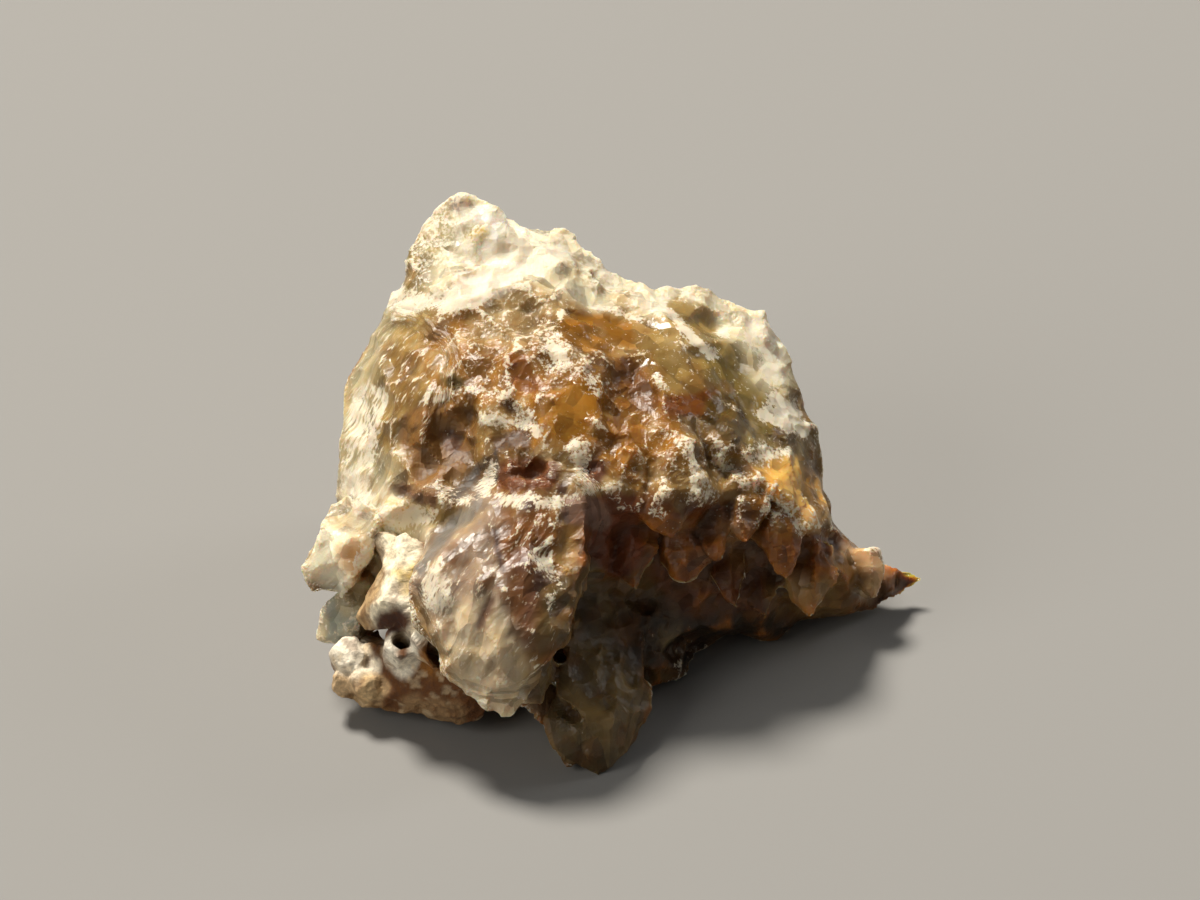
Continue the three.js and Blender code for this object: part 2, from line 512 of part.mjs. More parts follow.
// Flat breaks cut into the crests and ridges: a place on the edge, the way that the break faces, its depth.
const BREAK_WIDTH = 2.6;
const BREAKS = [
  [[-4.3, 12.9, -4.9], [0.3, 1.0, 0.7], 0.45], [[0.1, 10.5, -4.6], [0.5, 0.8, 0.8], 0.4],
  [[8.0, 8.3, -5.2], [1.0, 0.7, 0.6], 0.5], [[10.6, 2.2, -3.6], [1.0, 0.2, 0.7], 0.35],
  [[-10.5, 11.6, -4.8], [-1.0, 0.4, 0.6], 0.3], [[-15.6, -4.3, 0.9], [-1.0, 0.2, 0.6], 0.15],
];

// Flat crystal faces behind: a place on each and the way that it faces.
const FACE_WIDTH = 60;
const CRYSTAL_FACES = [
  [[-11.3, 10.35, 6.0], [-0.74, 0.67, 0.0]], [[1.2, 12.35, 6.0], [0.1, 0.99, 0.0]],
  [[7.6, 10.3, 6.0], [0.62, 0.78, 0.0]], [[-6.0, 11.4, 2.6], [-0.3, 0.8, -0.5]],
  [[5.4, 10.6, 2.4], [0.36, 0.72, -0.56]],
];

// Growth steps that run in from the edges of those faces: middle, the way it faces, width and turn.
const GROWTH_STEPS = [
  [[-7.4, 12.72, 5.0], [0.04, 0.99, 0.08], 15, 0.35], [[7.0, 11.02, 2.4], [0.16, 0.98, -0.06], 12, -0.3],
  [[-11.4, 9.84, 2.6], [-0.7, 0.7, 0.06], 11, 0.25], [[11.0, 7.19, 4.6], [0.66, 0.74, 0.04], 10, -0.2],
];

// A cutter whose flat lower side makes one face, at a place and facing one way.
function flatCutter(spot, out, width, turn = 0) {
  const box = new THREE.BoxGeometry(width, width, width);
  box.translate(0, 0, width / 2);
  box.rotateZ(turn);
  box.applyQuaternion(new THREE.Quaternion().setFromUnitVectors(new THREE.Vector3(0, 0, 1), out));
  box.translate(spot.x, spot.y, spot.z);
  return solidFrom(box);
}

function breakCutter([where, facing, depth]) {
  const out = place(facing).sub(place([0, 0, 0])).normalize();
  return flatCutter(place(where).addScaledVector(out, -depth * SCALE), out, BREAK_WIDTH * SCALE);
}

function faceCutter([where, facing, width = FACE_WIDTH, turn = 0]) {
  const spot = new THREE.Vector3(...where).multiplyScalar(SCALE);
  return flatCutter(spot, new THREE.Vector3(...facing).normalize(), width * SCALE, turn);
}

function buildCrystal() {
  const blocks = [LOBE, PRONG, PRONG_SHOULDER, FOOT, LEFT_TOE, FOOT_BACKING, LEFT_BLOCK, LEFT_SPIKE, GREY_BLOCK];
  const body = joinAll([relief(OUTLINE, FRONT, BACK), ...blocks.map(block)]);
  const pits = PITS.map((entry) => lump(...entry));
  const chipped = cutAll(body, [...BREAKS.map(breakCutter), ...pits]);
  const thinTips = [[15.75, -4.9, -6.8], [-13.65, -6.1, 1.3], [14.6, -5.2, -6.4], [13.2, -5.0, -5.4]];
  const faces = [...CRYSTAL_FACES, ...GROWTH_STEPS].map(faceCutter);
  const broken = cutAll(breakSurface(chipped, 1, 3, thinTips), [...faces, ground()]);
  return joinAll([broken, ...HANGING_CRYSTALS.map((entry) => crystal(...entry))]);
}

// The matrix: a cream body that runs down beside the fissure, and rusty earth with pale lumps at its left.
const CREAM_UPPER = [
  [-11.7, -2.9, 2.0], [-10.4, -2.6, 3.4], [-9.6, -3.4, 3.6], [-11.6, -3.8, 3.0], [-10.6, -3.6, 4.2],
  [-9.8, -4.8, 4.6], [-11.7, -4.8, 3.6], [-10.8, -5.0, 4.9], [-9.6, -5.6, 3.0], [-11.6, -4.6, 0.6],
  [-10.0, -3.4, 1.0],
];
const CREAM_MIDDLE = [
  [-11.8, -4.4, 2.8], [-10.9, -4.6, 4.6], [-9.9, -5.0, 4.6], [-12.5, -6.2, 3.0], [-11.6, -6.0, 4.9],
  [-10.5, -6.2, 5.3], [-9.8, -6.8, 4.6], [-13.0, -6.9, 2.2], [-12.4, -7.5, 2.6], [-11.4, -7.3, 4.0],
  [-10.4, -7.3, 4.5], [-12.2, -6.4, 0.2], [-10.2, -6.6, 0.8], [-11.4, -5.2, 0.6],
];
const CREAM_STRAND = [
  [-11.0, -5.8, 4.8], [-10.4, -6.4, 5.4], [-9.9, -7.8, 5.6], [-9.2, -8.9, 5.4], [-8.8, -9.5, 4.6],
  [-9.9, -8.8, 4.4], [-10.5, -7.6, 4.6], [-9.6, -8.4, 3.0], [-10.9, -6.2, 3.0],
];
const PALE_NOSE = [
  [[-13.2, -8.9, 1.0], [1.2, 1.2, 1.2], 21], [[-13.5, -10.0, 1.1], [0.75, 0.9, 1.0], 22],
  [[-12.4, -10.2, 1.7], [1.0, 1.0, 0.95], 23],
];
const EARTH = [
  [-13.4, -10.7, 0.7], [-12.65, -11.35, 1.1], [-10.75, -11.6, 1.6], [-8.25, -11.9, 2.2], [-6.5, -11.85, 2.8],
  [-6.2, -11.2, 3.6], [-7.6, -10.2, 4.4], [-9.4, -8.8, 4.0], [-12.4, -8.0, 1.4], [-11.0, -10.6, 2.7],
  [-9.0, -10.8, 3.6], [-12.0, -8.4, -3.6], [-12.6, -10.6, -1.6], [-7.6, -10.6, -1.6], [-8.0, -8.6, -2.6],
];
const TUBE = { middle: [-10.65, -8.35, 3.4], lean: [0.05, 0.35, 1.0], outer: 0.95, bore: 0.52, length: 2.6 };

// A short hollow six-sided tube, open at its front end.
function tubePart({ middle, lean, length }, radius, extra) {
  const sides = 6;
  const geometry = new THREE.CylinderGeometry(radius * SCALE, radius * SCALE, (length + extra) * SCALE, sides);
  geometry.translate(0, extra / 2, 0);
  const way = place(lean).sub(place([0, 0, 0])).normalize();
  geometry.applyQuaternion(new THREE.Quaternion().setFromUnitVectors(new THREE.Vector3(0, 1, 0), way));
  const spot = place(middle);
  geometry.translate(spot.x, spot.y, spot.z);
  return solidFrom(geometry);
}

// Keeps the crystal clear of the matrix by the gap, on the sides where the two face each other.
function clearOf(crystalSolid, matrixSolid) {
  const gap = MATRIX_GAP * SCALE;
  const ways = [[-1, 0, 0], [-0.5, -0.8, 0.3], [-0.4, 0.4, 0.8], [0, 0, 0]];
  return ways.reduce((left, way) => {
    const step = place(way).sub(place([0, 0, 0])).multiplyScalar(gap);
    return left.subtract(crystalSolid.translate([step.x, step.y, step.z]));
  }, matrixSolid);
}

function largestPiece(solid) {
  return solid.decompose().reduce((best, next) => (next.volume() > best.volume() ? next : best));
}

function buildMatrix(crystalSolid) {
  const blocks = [EARTH, CREAM_UPPER, CREAM_MIDDLE, CREAM_STRAND].map(block);
  const body = joinAll([...blocks, ...PALE_NOSE.map((entry) => lump(...entry))]);
  const rough = breakSurface(body, 0.55, 8, [TUBE.middle]);
  const withTube = rough.add(tubePart(TUBE, TUBE.outer, 0)).subtract(tubePart(TUBE, TUBE.bore, 1.2));
  return largestPiece(clearOf(crystalSolid, withTube).subtract(ground()));
}

const crystalSolid = largestPiece(buildCrystal());
const matrixSolid = buildMatrix(crystalSolid);

const herderite = new THREE.MeshStandardMaterial({ color: 0xa9854e, roughness: 0.4, metalness: 0 });
const matrixEarth = new THREE.MeshStandardMaterial({ color: 0xc8ae84, roughness: 0.85, metalness: 0 });

function namedMesh(name, solid, material) {
  const geometry = geometryFrom(solid).toNonIndexed();
  geometry.computeVertexNormals();
  const mesh = new THREE.Mesh(geometry, material);
  mesh.name = name;
  return mesh;
}

const stone = new THREE.Group();
stone.add(namedMesh('herderite_crystal', crystalSolid, herderite));
stone.add(namedMesh('matrix_remnant', matrixSolid, matrixEarth));

// The origin is the middle of the stone's box, on the surface that it stands on.
const bounds = new THREE.Box3().setFromObject(stone);
const middle = bounds.getCenter(new THREE.Vector3());
for (const mesh of stone.children) {
  mesh.geometry.translate(-middle.x, -middle.y, -bounds.min.z);
}

export default stone;
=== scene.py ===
import math

import bpy
import numpy as np
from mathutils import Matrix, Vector
from mathutils.bvhtree import BVHTree


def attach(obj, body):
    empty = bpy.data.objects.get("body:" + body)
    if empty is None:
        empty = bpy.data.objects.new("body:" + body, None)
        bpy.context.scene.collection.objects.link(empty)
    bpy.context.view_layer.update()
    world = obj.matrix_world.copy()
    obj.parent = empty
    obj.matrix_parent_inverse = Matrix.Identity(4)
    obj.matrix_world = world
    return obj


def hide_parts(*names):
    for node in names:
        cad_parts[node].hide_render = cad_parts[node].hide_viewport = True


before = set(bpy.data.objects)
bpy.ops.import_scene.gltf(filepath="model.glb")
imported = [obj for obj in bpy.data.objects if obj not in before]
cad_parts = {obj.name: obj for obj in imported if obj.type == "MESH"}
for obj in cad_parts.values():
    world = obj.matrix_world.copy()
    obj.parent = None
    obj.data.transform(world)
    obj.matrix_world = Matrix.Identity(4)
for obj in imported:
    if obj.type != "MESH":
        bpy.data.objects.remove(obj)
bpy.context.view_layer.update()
scene = bpy.context.scene


# The view and the table.
# The stone is seen from 35 degrees above a pale table, through a long lens. A large soft lamp stands
# behind it at the left, so that the crests glow and the underside falls into shade.
MM = 0.001
VIEW_RISE = math.radians(35)
VIEW_CENTRE = (-0.75, 1.5, 0.0)
VIEW_WIDTH = 60.0
LENS = 300.0
SENSOR = 36.0
CLIP_RANGE = (0.01, 10.0)
PLANE_HEIGHT = 9.5
PLANE_SHIFT = (-0.024, -0.317)
TABLE_HALF = 1.5
TABLE_PAPER = "#8e8d8a"
PAPER_ROUGHNESS = 0.95
KEY = {"from": (-0.30, 0.38, 0.82), "size": 0.26, "watts": 14.5, "colour": "#fff8ee"}
FILL = {"from": (-0.75, -0.50, 0.55), "size": 0.60, "watts": 3.3, "colour": "#fffaf2"}
RIM = {"from": (0.70, 0.30, 0.45), "size": 0.30, "watts": 1.0, "colour": "#ffffff"}
SKY = "#c8c8c8"
SKY_STRENGTH = 0.16


def linear(hex_colour):
    """The linear red, green and blue of an sRGB colour such as #c08a30."""
    parts = [int(hex_colour[i : i + 2], 16) / 255 for i in (1, 3, 5)]
    return [c / 12.92 if c <= 0.04045 else ((c + 0.055) / 1.055) ** 2.4 for c in parts]


def place(u, v, w):
    """A spot on the plane that leans back with the view, in millimetres, as a place in metres."""
    y = v * math.sin(VIEW_RISE) - w * math.cos(VIEW_RISE) + PLANE_SHIFT[1]
    z = v * math.cos(VIEW_RISE) + w * math.sin(VIEW_RISE) + PLANE_HEIGHT
    return Vector((u + PLANE_SHIFT[0], y, z)) * MM


def add_node(tree, kind, settings=None, values=None, links=None):
    """Adds a node, sets its properties and its inputs' values, and links outputs into its inputs."""
    made = tree.nodes.new(kind)
    for name, value in (settings or {}).items():
        setattr(made, name, value)
    for name, value in (values or {}).items():
        made.inputs[name].default_value = value
    for name, output in (links or {}).items():
        tree.links.new(output, made.inputs[name])
    return made


def add_lamp(name, lamp):
    light = bpy.data.lights.new(name, "AREA")
    light.shape = "DISK"
    light.size = lamp["size"]
    light.energy = lamp["watts"]
    light.color = linear(lamp["colour"])
    holder = bpy.data.objects.new(name, light)
    holder.location = lamp["from"]
    holder.rotation_euler = Vector(lamp["from"]).to_track_quat("Z", "Y").to_euler()
    scene.collection.objects.link(holder)


camera = bpy.data.objects.new("camera", bpy.data.cameras.new("camera"))
camera.data.lens = LENS
camera.data.sensor_width = SENSOR
camera.data.clip_start, camera.data.clip_end = CLIP_RANGE
plane_facing = Vector((0.0, -math.cos(VIEW_RISE), math.sin(VIEW_RISE)))
camera.location = place(*VIEW_CENTRE) + plane_facing * (LENS / SENSOR * VIEW_WIDTH * MM)
camera.rotation_euler = plane_facing.to_track_quat("Z", "Y").to_euler()
scene.collection.objects.link(camera)
scene.camera = camera

for lamp_name, lamp in (("key_lamp", KEY), ("fill_lamp", FILL), ("side_lamp", RIM)):
    add_lamp(lamp_name, lamp)

world = bpy.data.worlds.new("studio")
world.use_nodes = True
background = world.node_tree.nodes["Background"]
background.inputs["Color"].default_value = (*linear(SKY), 1.0)
background.inputs["Strength"].default_value = SKY_STRENGTH
scene.world = world
scene.view_settings.view_transform = "Standard"

# The table is matt grey paper, which shows soft shadows and no gloss.
table_mesh = bpy.data.meshes.new("table")
corners = [(-1, -1), (1, -1), (1, 1), (-1, 1)]
table_mesh.from_pydata([(x * TABLE_HALF, y * TABLE_HALF, 0.0) for x, y in corners], [], [(0, 1, 2, 3)])
table = bpy.data.objects.new("table", table_mesh)
scene.collection.objects.link(table)

paper = bpy.data.materials.new("matt_paper")
paper.use_nodes = True
paper_shader = paper.node_tree.nodes["Principled BSDF"]
paper_shader.inputs["Base Color"].default_value = (*linear(TABLE_PAPER), 1.0)
paper_shader.inputs["Roughness"].default_value = PAPER_ROUGHNESS
table_mesh.materials.append(paper)


# The herderite crystal.
# One rough, see-through piece of herderite, amber to olive inside, broken on every side. The breaks are
# curved and stepped, the crests are bruised to a white frost, and the lobe in front is finely striated.
SKIN_STEP = 0.17
SCOOPS = (
    {"size": 2.00, "depth": 0.20, "tilt": 0.24, "seed": 11},
    {"size": 0.85, "depth": 0.08, "tilt": 0.21, "seed": 12},
)
GRAIN = {"size": 0.42, "height": 0.018, "seed": 13}
GROWTH_LINES = (-0.52, -0.85)
ACROSS_GROWTH = (0.85, -0.52)
FOOT_LINES = (0.22, -0.97)
GROWTH_STEP = {"size": 0.40, "stretch": 3.2, "height": 0.035, "seed": 14}
GROWTH_LEDGE = {"spacing": 1.1, "height": 0.07, "seed": 15}
LEDGE_FACING = (-0.55, -0.83)
LEDGE = {"spacing": 1.6, "height": 0.14, "seed": 16}
# Patterns of noise: size in millimetres, seed and layers.
BEND = (2.6, 30, 2)
RAGGED = (1.4, 50, 4)
STRIPES = (0.5, 61, 3)
MOTTLE = (1.3, 71, 4)
CRUMBS = (0.8, 75, 4)
FINE_CRUMBS = (0.45, 76, 3)
GATHERING = (3.0, 78, 2)
BACK_PATCHES = (5.0, 79, 2)
BACK_FROST = (4.0, 80, 3)


def cell_value(cell, seed):
    """An even spread of numbers from 0 to 1, one for each cell of a grid."""
    x, y, z = (cell[..., axis].astype(np.int64) for axis in range(3))
    mixed = (x * 73856093 ^ y * 19349663 ^ z * 83492791 ^ seed * 40503) & 0xFFFFFFFF
    mixed = ((mixed ^ (mixed >> 15)) * 2246822519) & 0xFFFFFFFF
    mixed = ((mixed ^ (mixed >> 13)) * 3266489917) & 0xFFFFFFFF
    return (mixed ^ (mixed >> 16)) / 0xFFFFFFFF


def soft_noise(points, size, seed):
    """Smooth noise from -1 to 1, with one bump for each size."""
    scaled = points / size + seed * 3.7
    cell = np.floor(scaled)
    part = scaled - cell
    part = part * part * (3 - 2 * part)
    total = np.zeros(len(points))
    for corner in range(8):
        step = np.array([corner & 1, corner >> 1 & 1, corner >> 2 & 1])
        share = np.prod(np.where(step == 1, part, 1 - part), axis=1)
        total += share * cell_value(cell + step, seed)
    return 2 * total - 1


def layered_noise(points, size, seed, layers=4):
    """Noise of several sizes, each half as large and half as strong as the one before."""
    total = sum(0.5**i * soft_noise(points, size * 0.5**i, seed + 7 * i) for i in range(layers))
    return total / (2 - 0.5 ** (layers - 1))


def wandering(points, pattern, axes):
    """One noise for each of several axes, to shift points by."""
    size, seed, layers = pattern
    return np.stack([layered_noise(points, size, seed + axis, layers) for axis in range(axes)], axis=1)


def scooped(points, scoop):
    """How far a surface of curved, tilted breaks stands out: shallow scoops that meet in sharp ridges."""
    cell = np.floor(points / scoop["size"])
    lowest = np.full(len(points), np.inf)
    for index in range(27):
        near = cell + np.array([index % 3 - 1, index // 3 % 3 - 1, index // 9 - 1])
        draws = [cell_value(near, scoop["seed"] + number) for number in range(7)]
        middle = (near + np.stack(draws[:3], axis=1)) * scoop["size"]
        away = points - middle
        slope = (np.stack(draws[3:6], axis=1) - 0.5) * 2 * scoop["tilt"]
        reach = (away**2).sum(axis=1) / scoop["size"] ** 2
        bowl = scoop["depth"] * (reach + 0.15 * reach**4 + 0.8 * draws[6])
        lowest = np.minimum(lowest, bowl + (slope * away).sum(axis=1))
    return lowest - np.median(lowest)


def skin_of(node, step):
    """A fine, even skin over a solid of the frame, as a new mesh in millimetres."""
    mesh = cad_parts[node].data.copy()
    mesh.transform(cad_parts[node].matrix_world)
    places = np.empty(3 * len(mesh.vertices))
    mesh.vertices.foreach_get("co", places)
    mesh.vertices.foreach_set("co", places / MM)
    holder = bpy.data.objects.new(node + "_skin", mesh)
    scene.collection.objects.link(holder)
    even = holder.modifiers.new("even", "REMESH")
    even.mode = "VOXEL"
    even.voxel_size = step
    skin = bpy.data.meshes.new_from_object(holder.evaluated_get(bpy.context.evaluated_depsgraph_get()))
    bpy.data.objects.remove(holder)
    skin.materials.clear()
    return skin


def vertices_of(mesh):
    places = np.empty(3 * len(mesh.vertices))
    mesh.vertices.foreach_get("co", places)
    return places.reshape(-1, 3)


def normals_of(mesh, places):
    mesh.vertices.foreach_set("co", places.ravel())
    mesh.update()
    normals = np.empty(3 * len(mesh.vertices))
    mesh.vertex_normals.foreach_get("vector", normals)
    return normals.reshape(-1, 3)


def edges_of(mesh):
    ends = np.empty(2 * len(mesh.edges), dtype=np.int32)
    mesh.edges.foreach_get("vertices", ends)
    return ends.reshape(-1, 2)


def smoothed(values, edges, passes):
    """Each vertex's value drawn towards its neighbours' mean, pass by pass."""
    count = len(values)
    both = np.concatenate([edges[:, 0], edges[:, 1]])
    other = np.concatenate([edges[:, 1], edges[:, 0]])
    neighbours = np.maximum(np.bincount(both, minlength=count), 1)
    for _ in range(passes):
        sums = [np.bincount(both, weights=column[other], minlength=count) for column in values.T]
        values = 0.5 * values + 0.5 * np.stack(sums, axis=1) / neighbours[:, None]
    return values


def standing_out(points, edges, normals, passes):
    """How far each vertex stands out from a smoothed copy of its skin. In a hollow it is below 0."""
    return ((points - smoothed(points, edges, passes)) * normals).sum(axis=1)


def leaning(points):
    """The u, v and w of places in millimetres."""
    x = points[:, 0] - PLANE_SHIFT[0]
    y = points[:, 1] - PLANE_SHIFT[1]
    z = points[:, 2] - PLANE_HEIGHT
    v = y * math.sin(VIEW_RISE) + z * math.cos(VIEW_RISE)
    w = -y * math.cos(VIEW_RISE) + z * math.sin(VIEW_RISE)
    return np.stack([x, v, w], axis=1)


def ramp(values, low, high):
    """0 up to the low value, 1 from the high one, and a smooth rise between."""
    part = np.clip((values - low) / (high - low), 0, 1)
    return part * part * (3 - 2 * part)


def near_line(spots, line, half_width, softness):
    """1 inside a stroke along a line on the leaning plane, 0 outside."""
    distance = np.full(len(spots), np.inf)
    starts = line if len(line) == 1 else line[:-1]
    ends = line if len(line) == 1 else line[1:]
    for start, end in zip(starts, ends):
        along = np.array(end) - np.array(start)
        away = spots - np.array(start)
        share = np.clip(away @ along / max(along @ along, 1e-9), 0, 1)
        distance = np.minimum(distance, np.linalg.norm(away - share[:, None] * along, axis=1))
    return ramp(half_width - distance, -softness, softness)


def stepped(points, way, ledge):
    """How far the surface stands out where it is broken into low ledges that face one way."""
    waver = layered_noise(points, 2.5 * ledge["spacing"], ledge["seed"], 3)
    run = points @ way / ledge["spacing"] + 0.7 * waver
    number = np.floor(run)
    part = run - number
    size = 0.4 + 0.8 * cell_value(np.stack([number] * 3, axis=1), ledge["seed"])
    return ledge["height"] * size * (part - ramp(part, 0.72, 1.0))


def on_plane(u, v):
    """A way along the leaning plane, as a way in space."""
    way = np.array([u, v * math.sin(VIEW_RISE), v * math.cos(VIEW_RISE)])
    return way / np.linalg.norm(way)


def drawn_out(points, way, stretch):
    """Points squeezed along one way, so that a pattern made from them is drawn out along it."""
    return points - np.outer((points @ way) * (1 - 1 / stretch), way)


crystal_mesh = skin_of("herderite_crystal", SKIN_STEP)
crystal_edges = edges_of(crystal_mesh)
rock = vertices_of(crystal_mesh)
spots = leaning(rock)
# The front is what faces the same way as the leaning plane does.
in_front = ramp(normals_of(crystal_mesh, rock) @ np.array(plane_facing), -0.25, 0.15)

# Where each kind of break shows, as strokes on the leaning plane: half width and line.
STRIATED = [
    (3.0, [(-7.4, -3.6), (-5.8, -7.6)]),
    (1.8, [(-9.0, -4.0), (-5.6, -1.6), (-2.6, -1.4)]),
    (1.6, [(-10.6, 6.6), (-11.6, 3.4), (-12.2, 0.0)]),
    (1.3, [(-9.4, 6.0), (-10.2, 3.6)]),
]
FOOT_STRIATED = [
    (2.2, [(-0.6, -7.2), (-0.6, -10.0), (-1.2, -13.0)]),
]
GLASSY = [
    (1.9, [(3.2, 6.4), (4.6, 4.8)]),
    (1.4, [(6.0, 6.4), (7.4, 3.8)]),
    (1.0, [(-2.4, 3.0), (-1.6, 4.2)]),
    (0.9, [(-2.2, 7.6), (0.6, 7.6)]),
    (1.6, [(12.8, -4.6), (15.0, -5.0)]),
]
LEDGED = [
    (2.6, [(-6.0, 5.4), (-2.0, 5.0), (1.0, 3.0), (3.0, 1.4)]),
    (1.6, [(5.0, 2.4), (8.0, 0.0), (10.4, -3.0)]),
]
CLOUDED = [
    (2.2, [(-10.2, 9.8), (-9.2, 12.2), (-7.9, 13.6), (-6.0, 11.8), (-3.4, 12.2), (-1.4, 10.6)]),
    (1.3, [(0.6, 9.6), (3.2, 9.4), (5.6, 8.6), (7.6, 7.6), (8.2, 5.6)]),
    (1.2, [(-13.0, 5.4), (-13.2, 1.0)]),
    (1.4, [(-14.2, -3.6), (-13.0, -4.4)]),
    (1.2, [(-13.9, -6.6), (-14.2, -7.6)]),
]
SHADED = [
    (3.0, [(0.0, -4.4), (5.0, -5.0), (10.0, -6.0)]),
    (3.2, [(-0.6, -8.4), (-0.8, -13.0)]),
    (1.2, [(13.6, -5.9), (15.4, -5.6)]),
]


def covered(strokes, softness):
    """How much each vertex lies in any of the strokes, on the front only."""
    shares = [near_line(spots[:, :2], line, wide, softness) for wide, line in strokes]
    return np.max(shares, axis=0) * in_front


striated = covered(STRIATED, 0.6)
glassy = covered(GLASSY, 0.4)
ledged = covered(LEDGED, 0.6)
clouded = covered(CLOUDED, 0.8)
shaded = covered(SHADED, 0.8)
foot_striated = covered(FOOT_STRIATED, 0.8)

# Scoops and ledges come first, then finer scoops and grain. All fade out towards the table, so that
# the feet stay flat.
bend = wandering(rock, BEND, 3)
lines = drawn_out(rock + 0.25 * bend, on_plane(*GROWTH_LINES), GROWTH_STEP["stretch"])
foot_lines = drawn_out(rock + 0.25 * bend, on_plane(*FOOT_LINES), GROWTH_STEP["stretch"])
lines = lines + foot_striated[:, None] * (foot_lines - lines)
lift = ramp(rock[:, 2], 0.05, 0.9)
broken = 1 - 0.75 * glassy
depth = scooped(rock + 0.45 * bend, SCOOPS[0]) * broken * (1 - 0.5 * striated)
striped = np.maximum(striated, foot_striated)
depth += striped * GROWTH_STEP["height"] * layered_noise(lines, GROWTH_STEP["size"], GROWTH_STEP["seed"], 3)
depth += striated * stepped(rock, on_plane(*ACROSS_GROWTH), GROWTH_LEDGE)
depth += ledged * stepped(rock, on_plane(*LEDGE_FACING), LEDGE)
rock = rock + normals_of(crystal_mesh, rock) * (depth * lift)[:, None]
depth = scooped(rock + 0.2 * bend, SCOOPS[1]) * broken * (1 - 0.5 * striated)
depth += GRAIN["height"] * layered_noise(rock, GRAIN["size"], GRAIN["seed"], 3) * broken
rock = rock + normals_of(crystal_mesh, rock) * (depth * lift)[:, None]
rock[:, 2] = np.maximum(rock[:, 2], 0.0)

# What stands out and what lies deep, judged against smoothed copies of the skin.
crystal_normals = normals_of(crystal_mesh, rock)
fine_form = standing_out(rock, crystal_edges, crystal_normals, 6)
mid_form = standing_out(rock, crystal_edges, crystal_normals, 30)
broad_form = standing_out(rock, crystal_edges, crystal_normals, 140)

# The body's colours, as strokes on the leaning plane: colour, half width and line. Some strokes on the
# underside, the foot and the tail are darkened with painted shade, as marked.
BODY_TONES = [
    ("#b4a680", 2.0, [(-11.6, 8.0), (-12.4, 5.0), (-12.9, 2.0), (-13.0, -0.6)]),
    ("#9c8048", 1.4, [(-9.8, 7.2), (-10.6, 5.0), (-11.0, 2.6)]),
    ("#8a6430", 0.5, [(-9.9, 6.4), (-10.7, 5.2)]),
    ("#9a6c2c", 2.6, [(-7.0, 6.0), (-4.0, 6.4), (-1.4, 6.0), (0.6, 4.0)]),
    ("#a06c20", 2.0, [(-3.4, 3.6), (-0.6, 3.0), (1.4, 1.8)]),
    ("#a48656", 2.0, [(-4.2, 10.2), (-1.6, 9.8), (-4.6, 8.6)]),
    ("#9c7e46", 2.2, [(3.6, 6.4), (4.6, 5.0)]),
    ("#86703a", 1.8, [(5.8, 6.6), (7.2, 4.2), (7.4, 2.6)]),
    ("#80683e", 1.4, [(9.4, 2.4), (9.4, 0.8), (10.6, -1.4)]),
    ("#8a5a2c", 1.7, [(-6.6, -2.4), (-4.6, -2.2)]),
    ("#96806a", 2.2, [(-7.8, -3.8), (-7.0, -6.0)]),
    ("#6e4a34", 1.0, [(-4.4, -4.2), (-4.6, -7.4)]),
    ("#7c5a3c", 0.4, [(-6.4, -4.6), (-6.8, -7.6)]),
    ("#d0bc9a", 1.8, [(-6.8, -7.4), (-6.4, -9.0), (-5.7, -11.2)]),
    ("#a08870", 1.3, [(-9.6, -4.4), (-7.0, -1.4)]),
    # Painted shade: the brown under the brow is darkened for the shade it lies in.
    ("#64360f", 3.4, [(1.5, -4.0), (5.5, -4.4), (9.4, -5.4)]),
    # Painted shade: the foot's olive-brown is darkened for the shade it stands in, and its base on the next
    # line is darker still.
    ("#64502c", 3.4, [(-0.6, -7.4), (-0.6, -12.8)]),
    ("#5c4c2c", 1.0, [(-2.6, -12.6), (-0.8, -14.0)]),
    # Painted shade: a near-black strip along the underside's bottom edge, close to the table.
    ("#3a2a18", 1.6, [(1.6, -7.6), (4.6, -8.4), (8.0, -8.0)]),
    ("#d8b084", 0.8, [(12.2, -3.9), (14.0, -4.4)]),
    ("#c06c24", 0.6, [(14.4, -4.6), (15.4, -4.9)]),
    # Painted shade: the tail's dark underside.
    ("#3c1c08", 1.0, [(12.4, -6.6), (15.0, -5.9)]),
    ("#7a5420", 0.9, [(11.4, -4.6), (11.8, -5.8)]),
    ("#d8bc8c", 0.5, [(12.6, -5.5)]),
    ("#e0a850", 1.4, [(8.2, -0.4), (9.4, -1.0)]),
    ("#8c5a1c", 0.8, [(7.4, -1.4), (8.4, -2.2)]),
    ("#8c6c3c", 1.1, [(8.8, -5.8), (10.6, -6.0)]),
    ("#84501c", 0.7, [(2.4, -2.0), (3.4, -2.6)]),
    ("#946a3c", 0.8, [(6.0, -2.6), (6.6, -3.6)]),
    ("#fbf0d0", 1.6, [(-14.2, -3.6), (-13.0, -4.4)]),
    ("#cc9c60", 0.7, [(-13.0, -3.6), (-12.6, -4.4)]),
    ("#a8a896", 1.3, [(-13.9, -6.6), (-14.2, -7.6)]),
    ("#dccfae", 1.2, [(-13.2, -0.6), (-11.6, -1.6), (-9.6, -1.8)]),
    ("#d4b464", 0.6, [(-11.3, -1.9), (-9.8, -1.7), (-8.3, -1.7)]),
    ("#ddd2b0", 1.9, [(-9.6, 11.0), (-8.6, 12.6), (-7.9, 13.4), (-6.2, 11.8), (-3.7, 12.0), (-0.9, 10.4)]),
    ("#fbf6e6", 1.2, [(-6.6, 12.6), (-5.6, 11.6), (-6.4, 10.4)]),
    ("#b8ac9c", 0.45, [(-7.9, 13.9)]),
    ("#cdb468", 0.4, [(-7.2, 12.6), (-6.8, 12.4)]),
    ("#cdb870", 0.35, [(-5.3, 12.2)]),
    ("#8c7644", 1.1, [(-10.2, 11.4), (-10.3, 10.0)]),
    ("#8c7040", 0.35, [(-10.2, 10.3)]),
    ("#b0a070", 0.8, [(-8.9, 12.9), (-9.2, 11.8)]),
    ("#e8dcb8", 1.3, [(2.0, 9.4), (5.2, 9.0), (7.4, 7.8), (8.0, 5.6)]),
    ("#8c6c3c", 0.3, [(-7.4, 10.5)]),
]
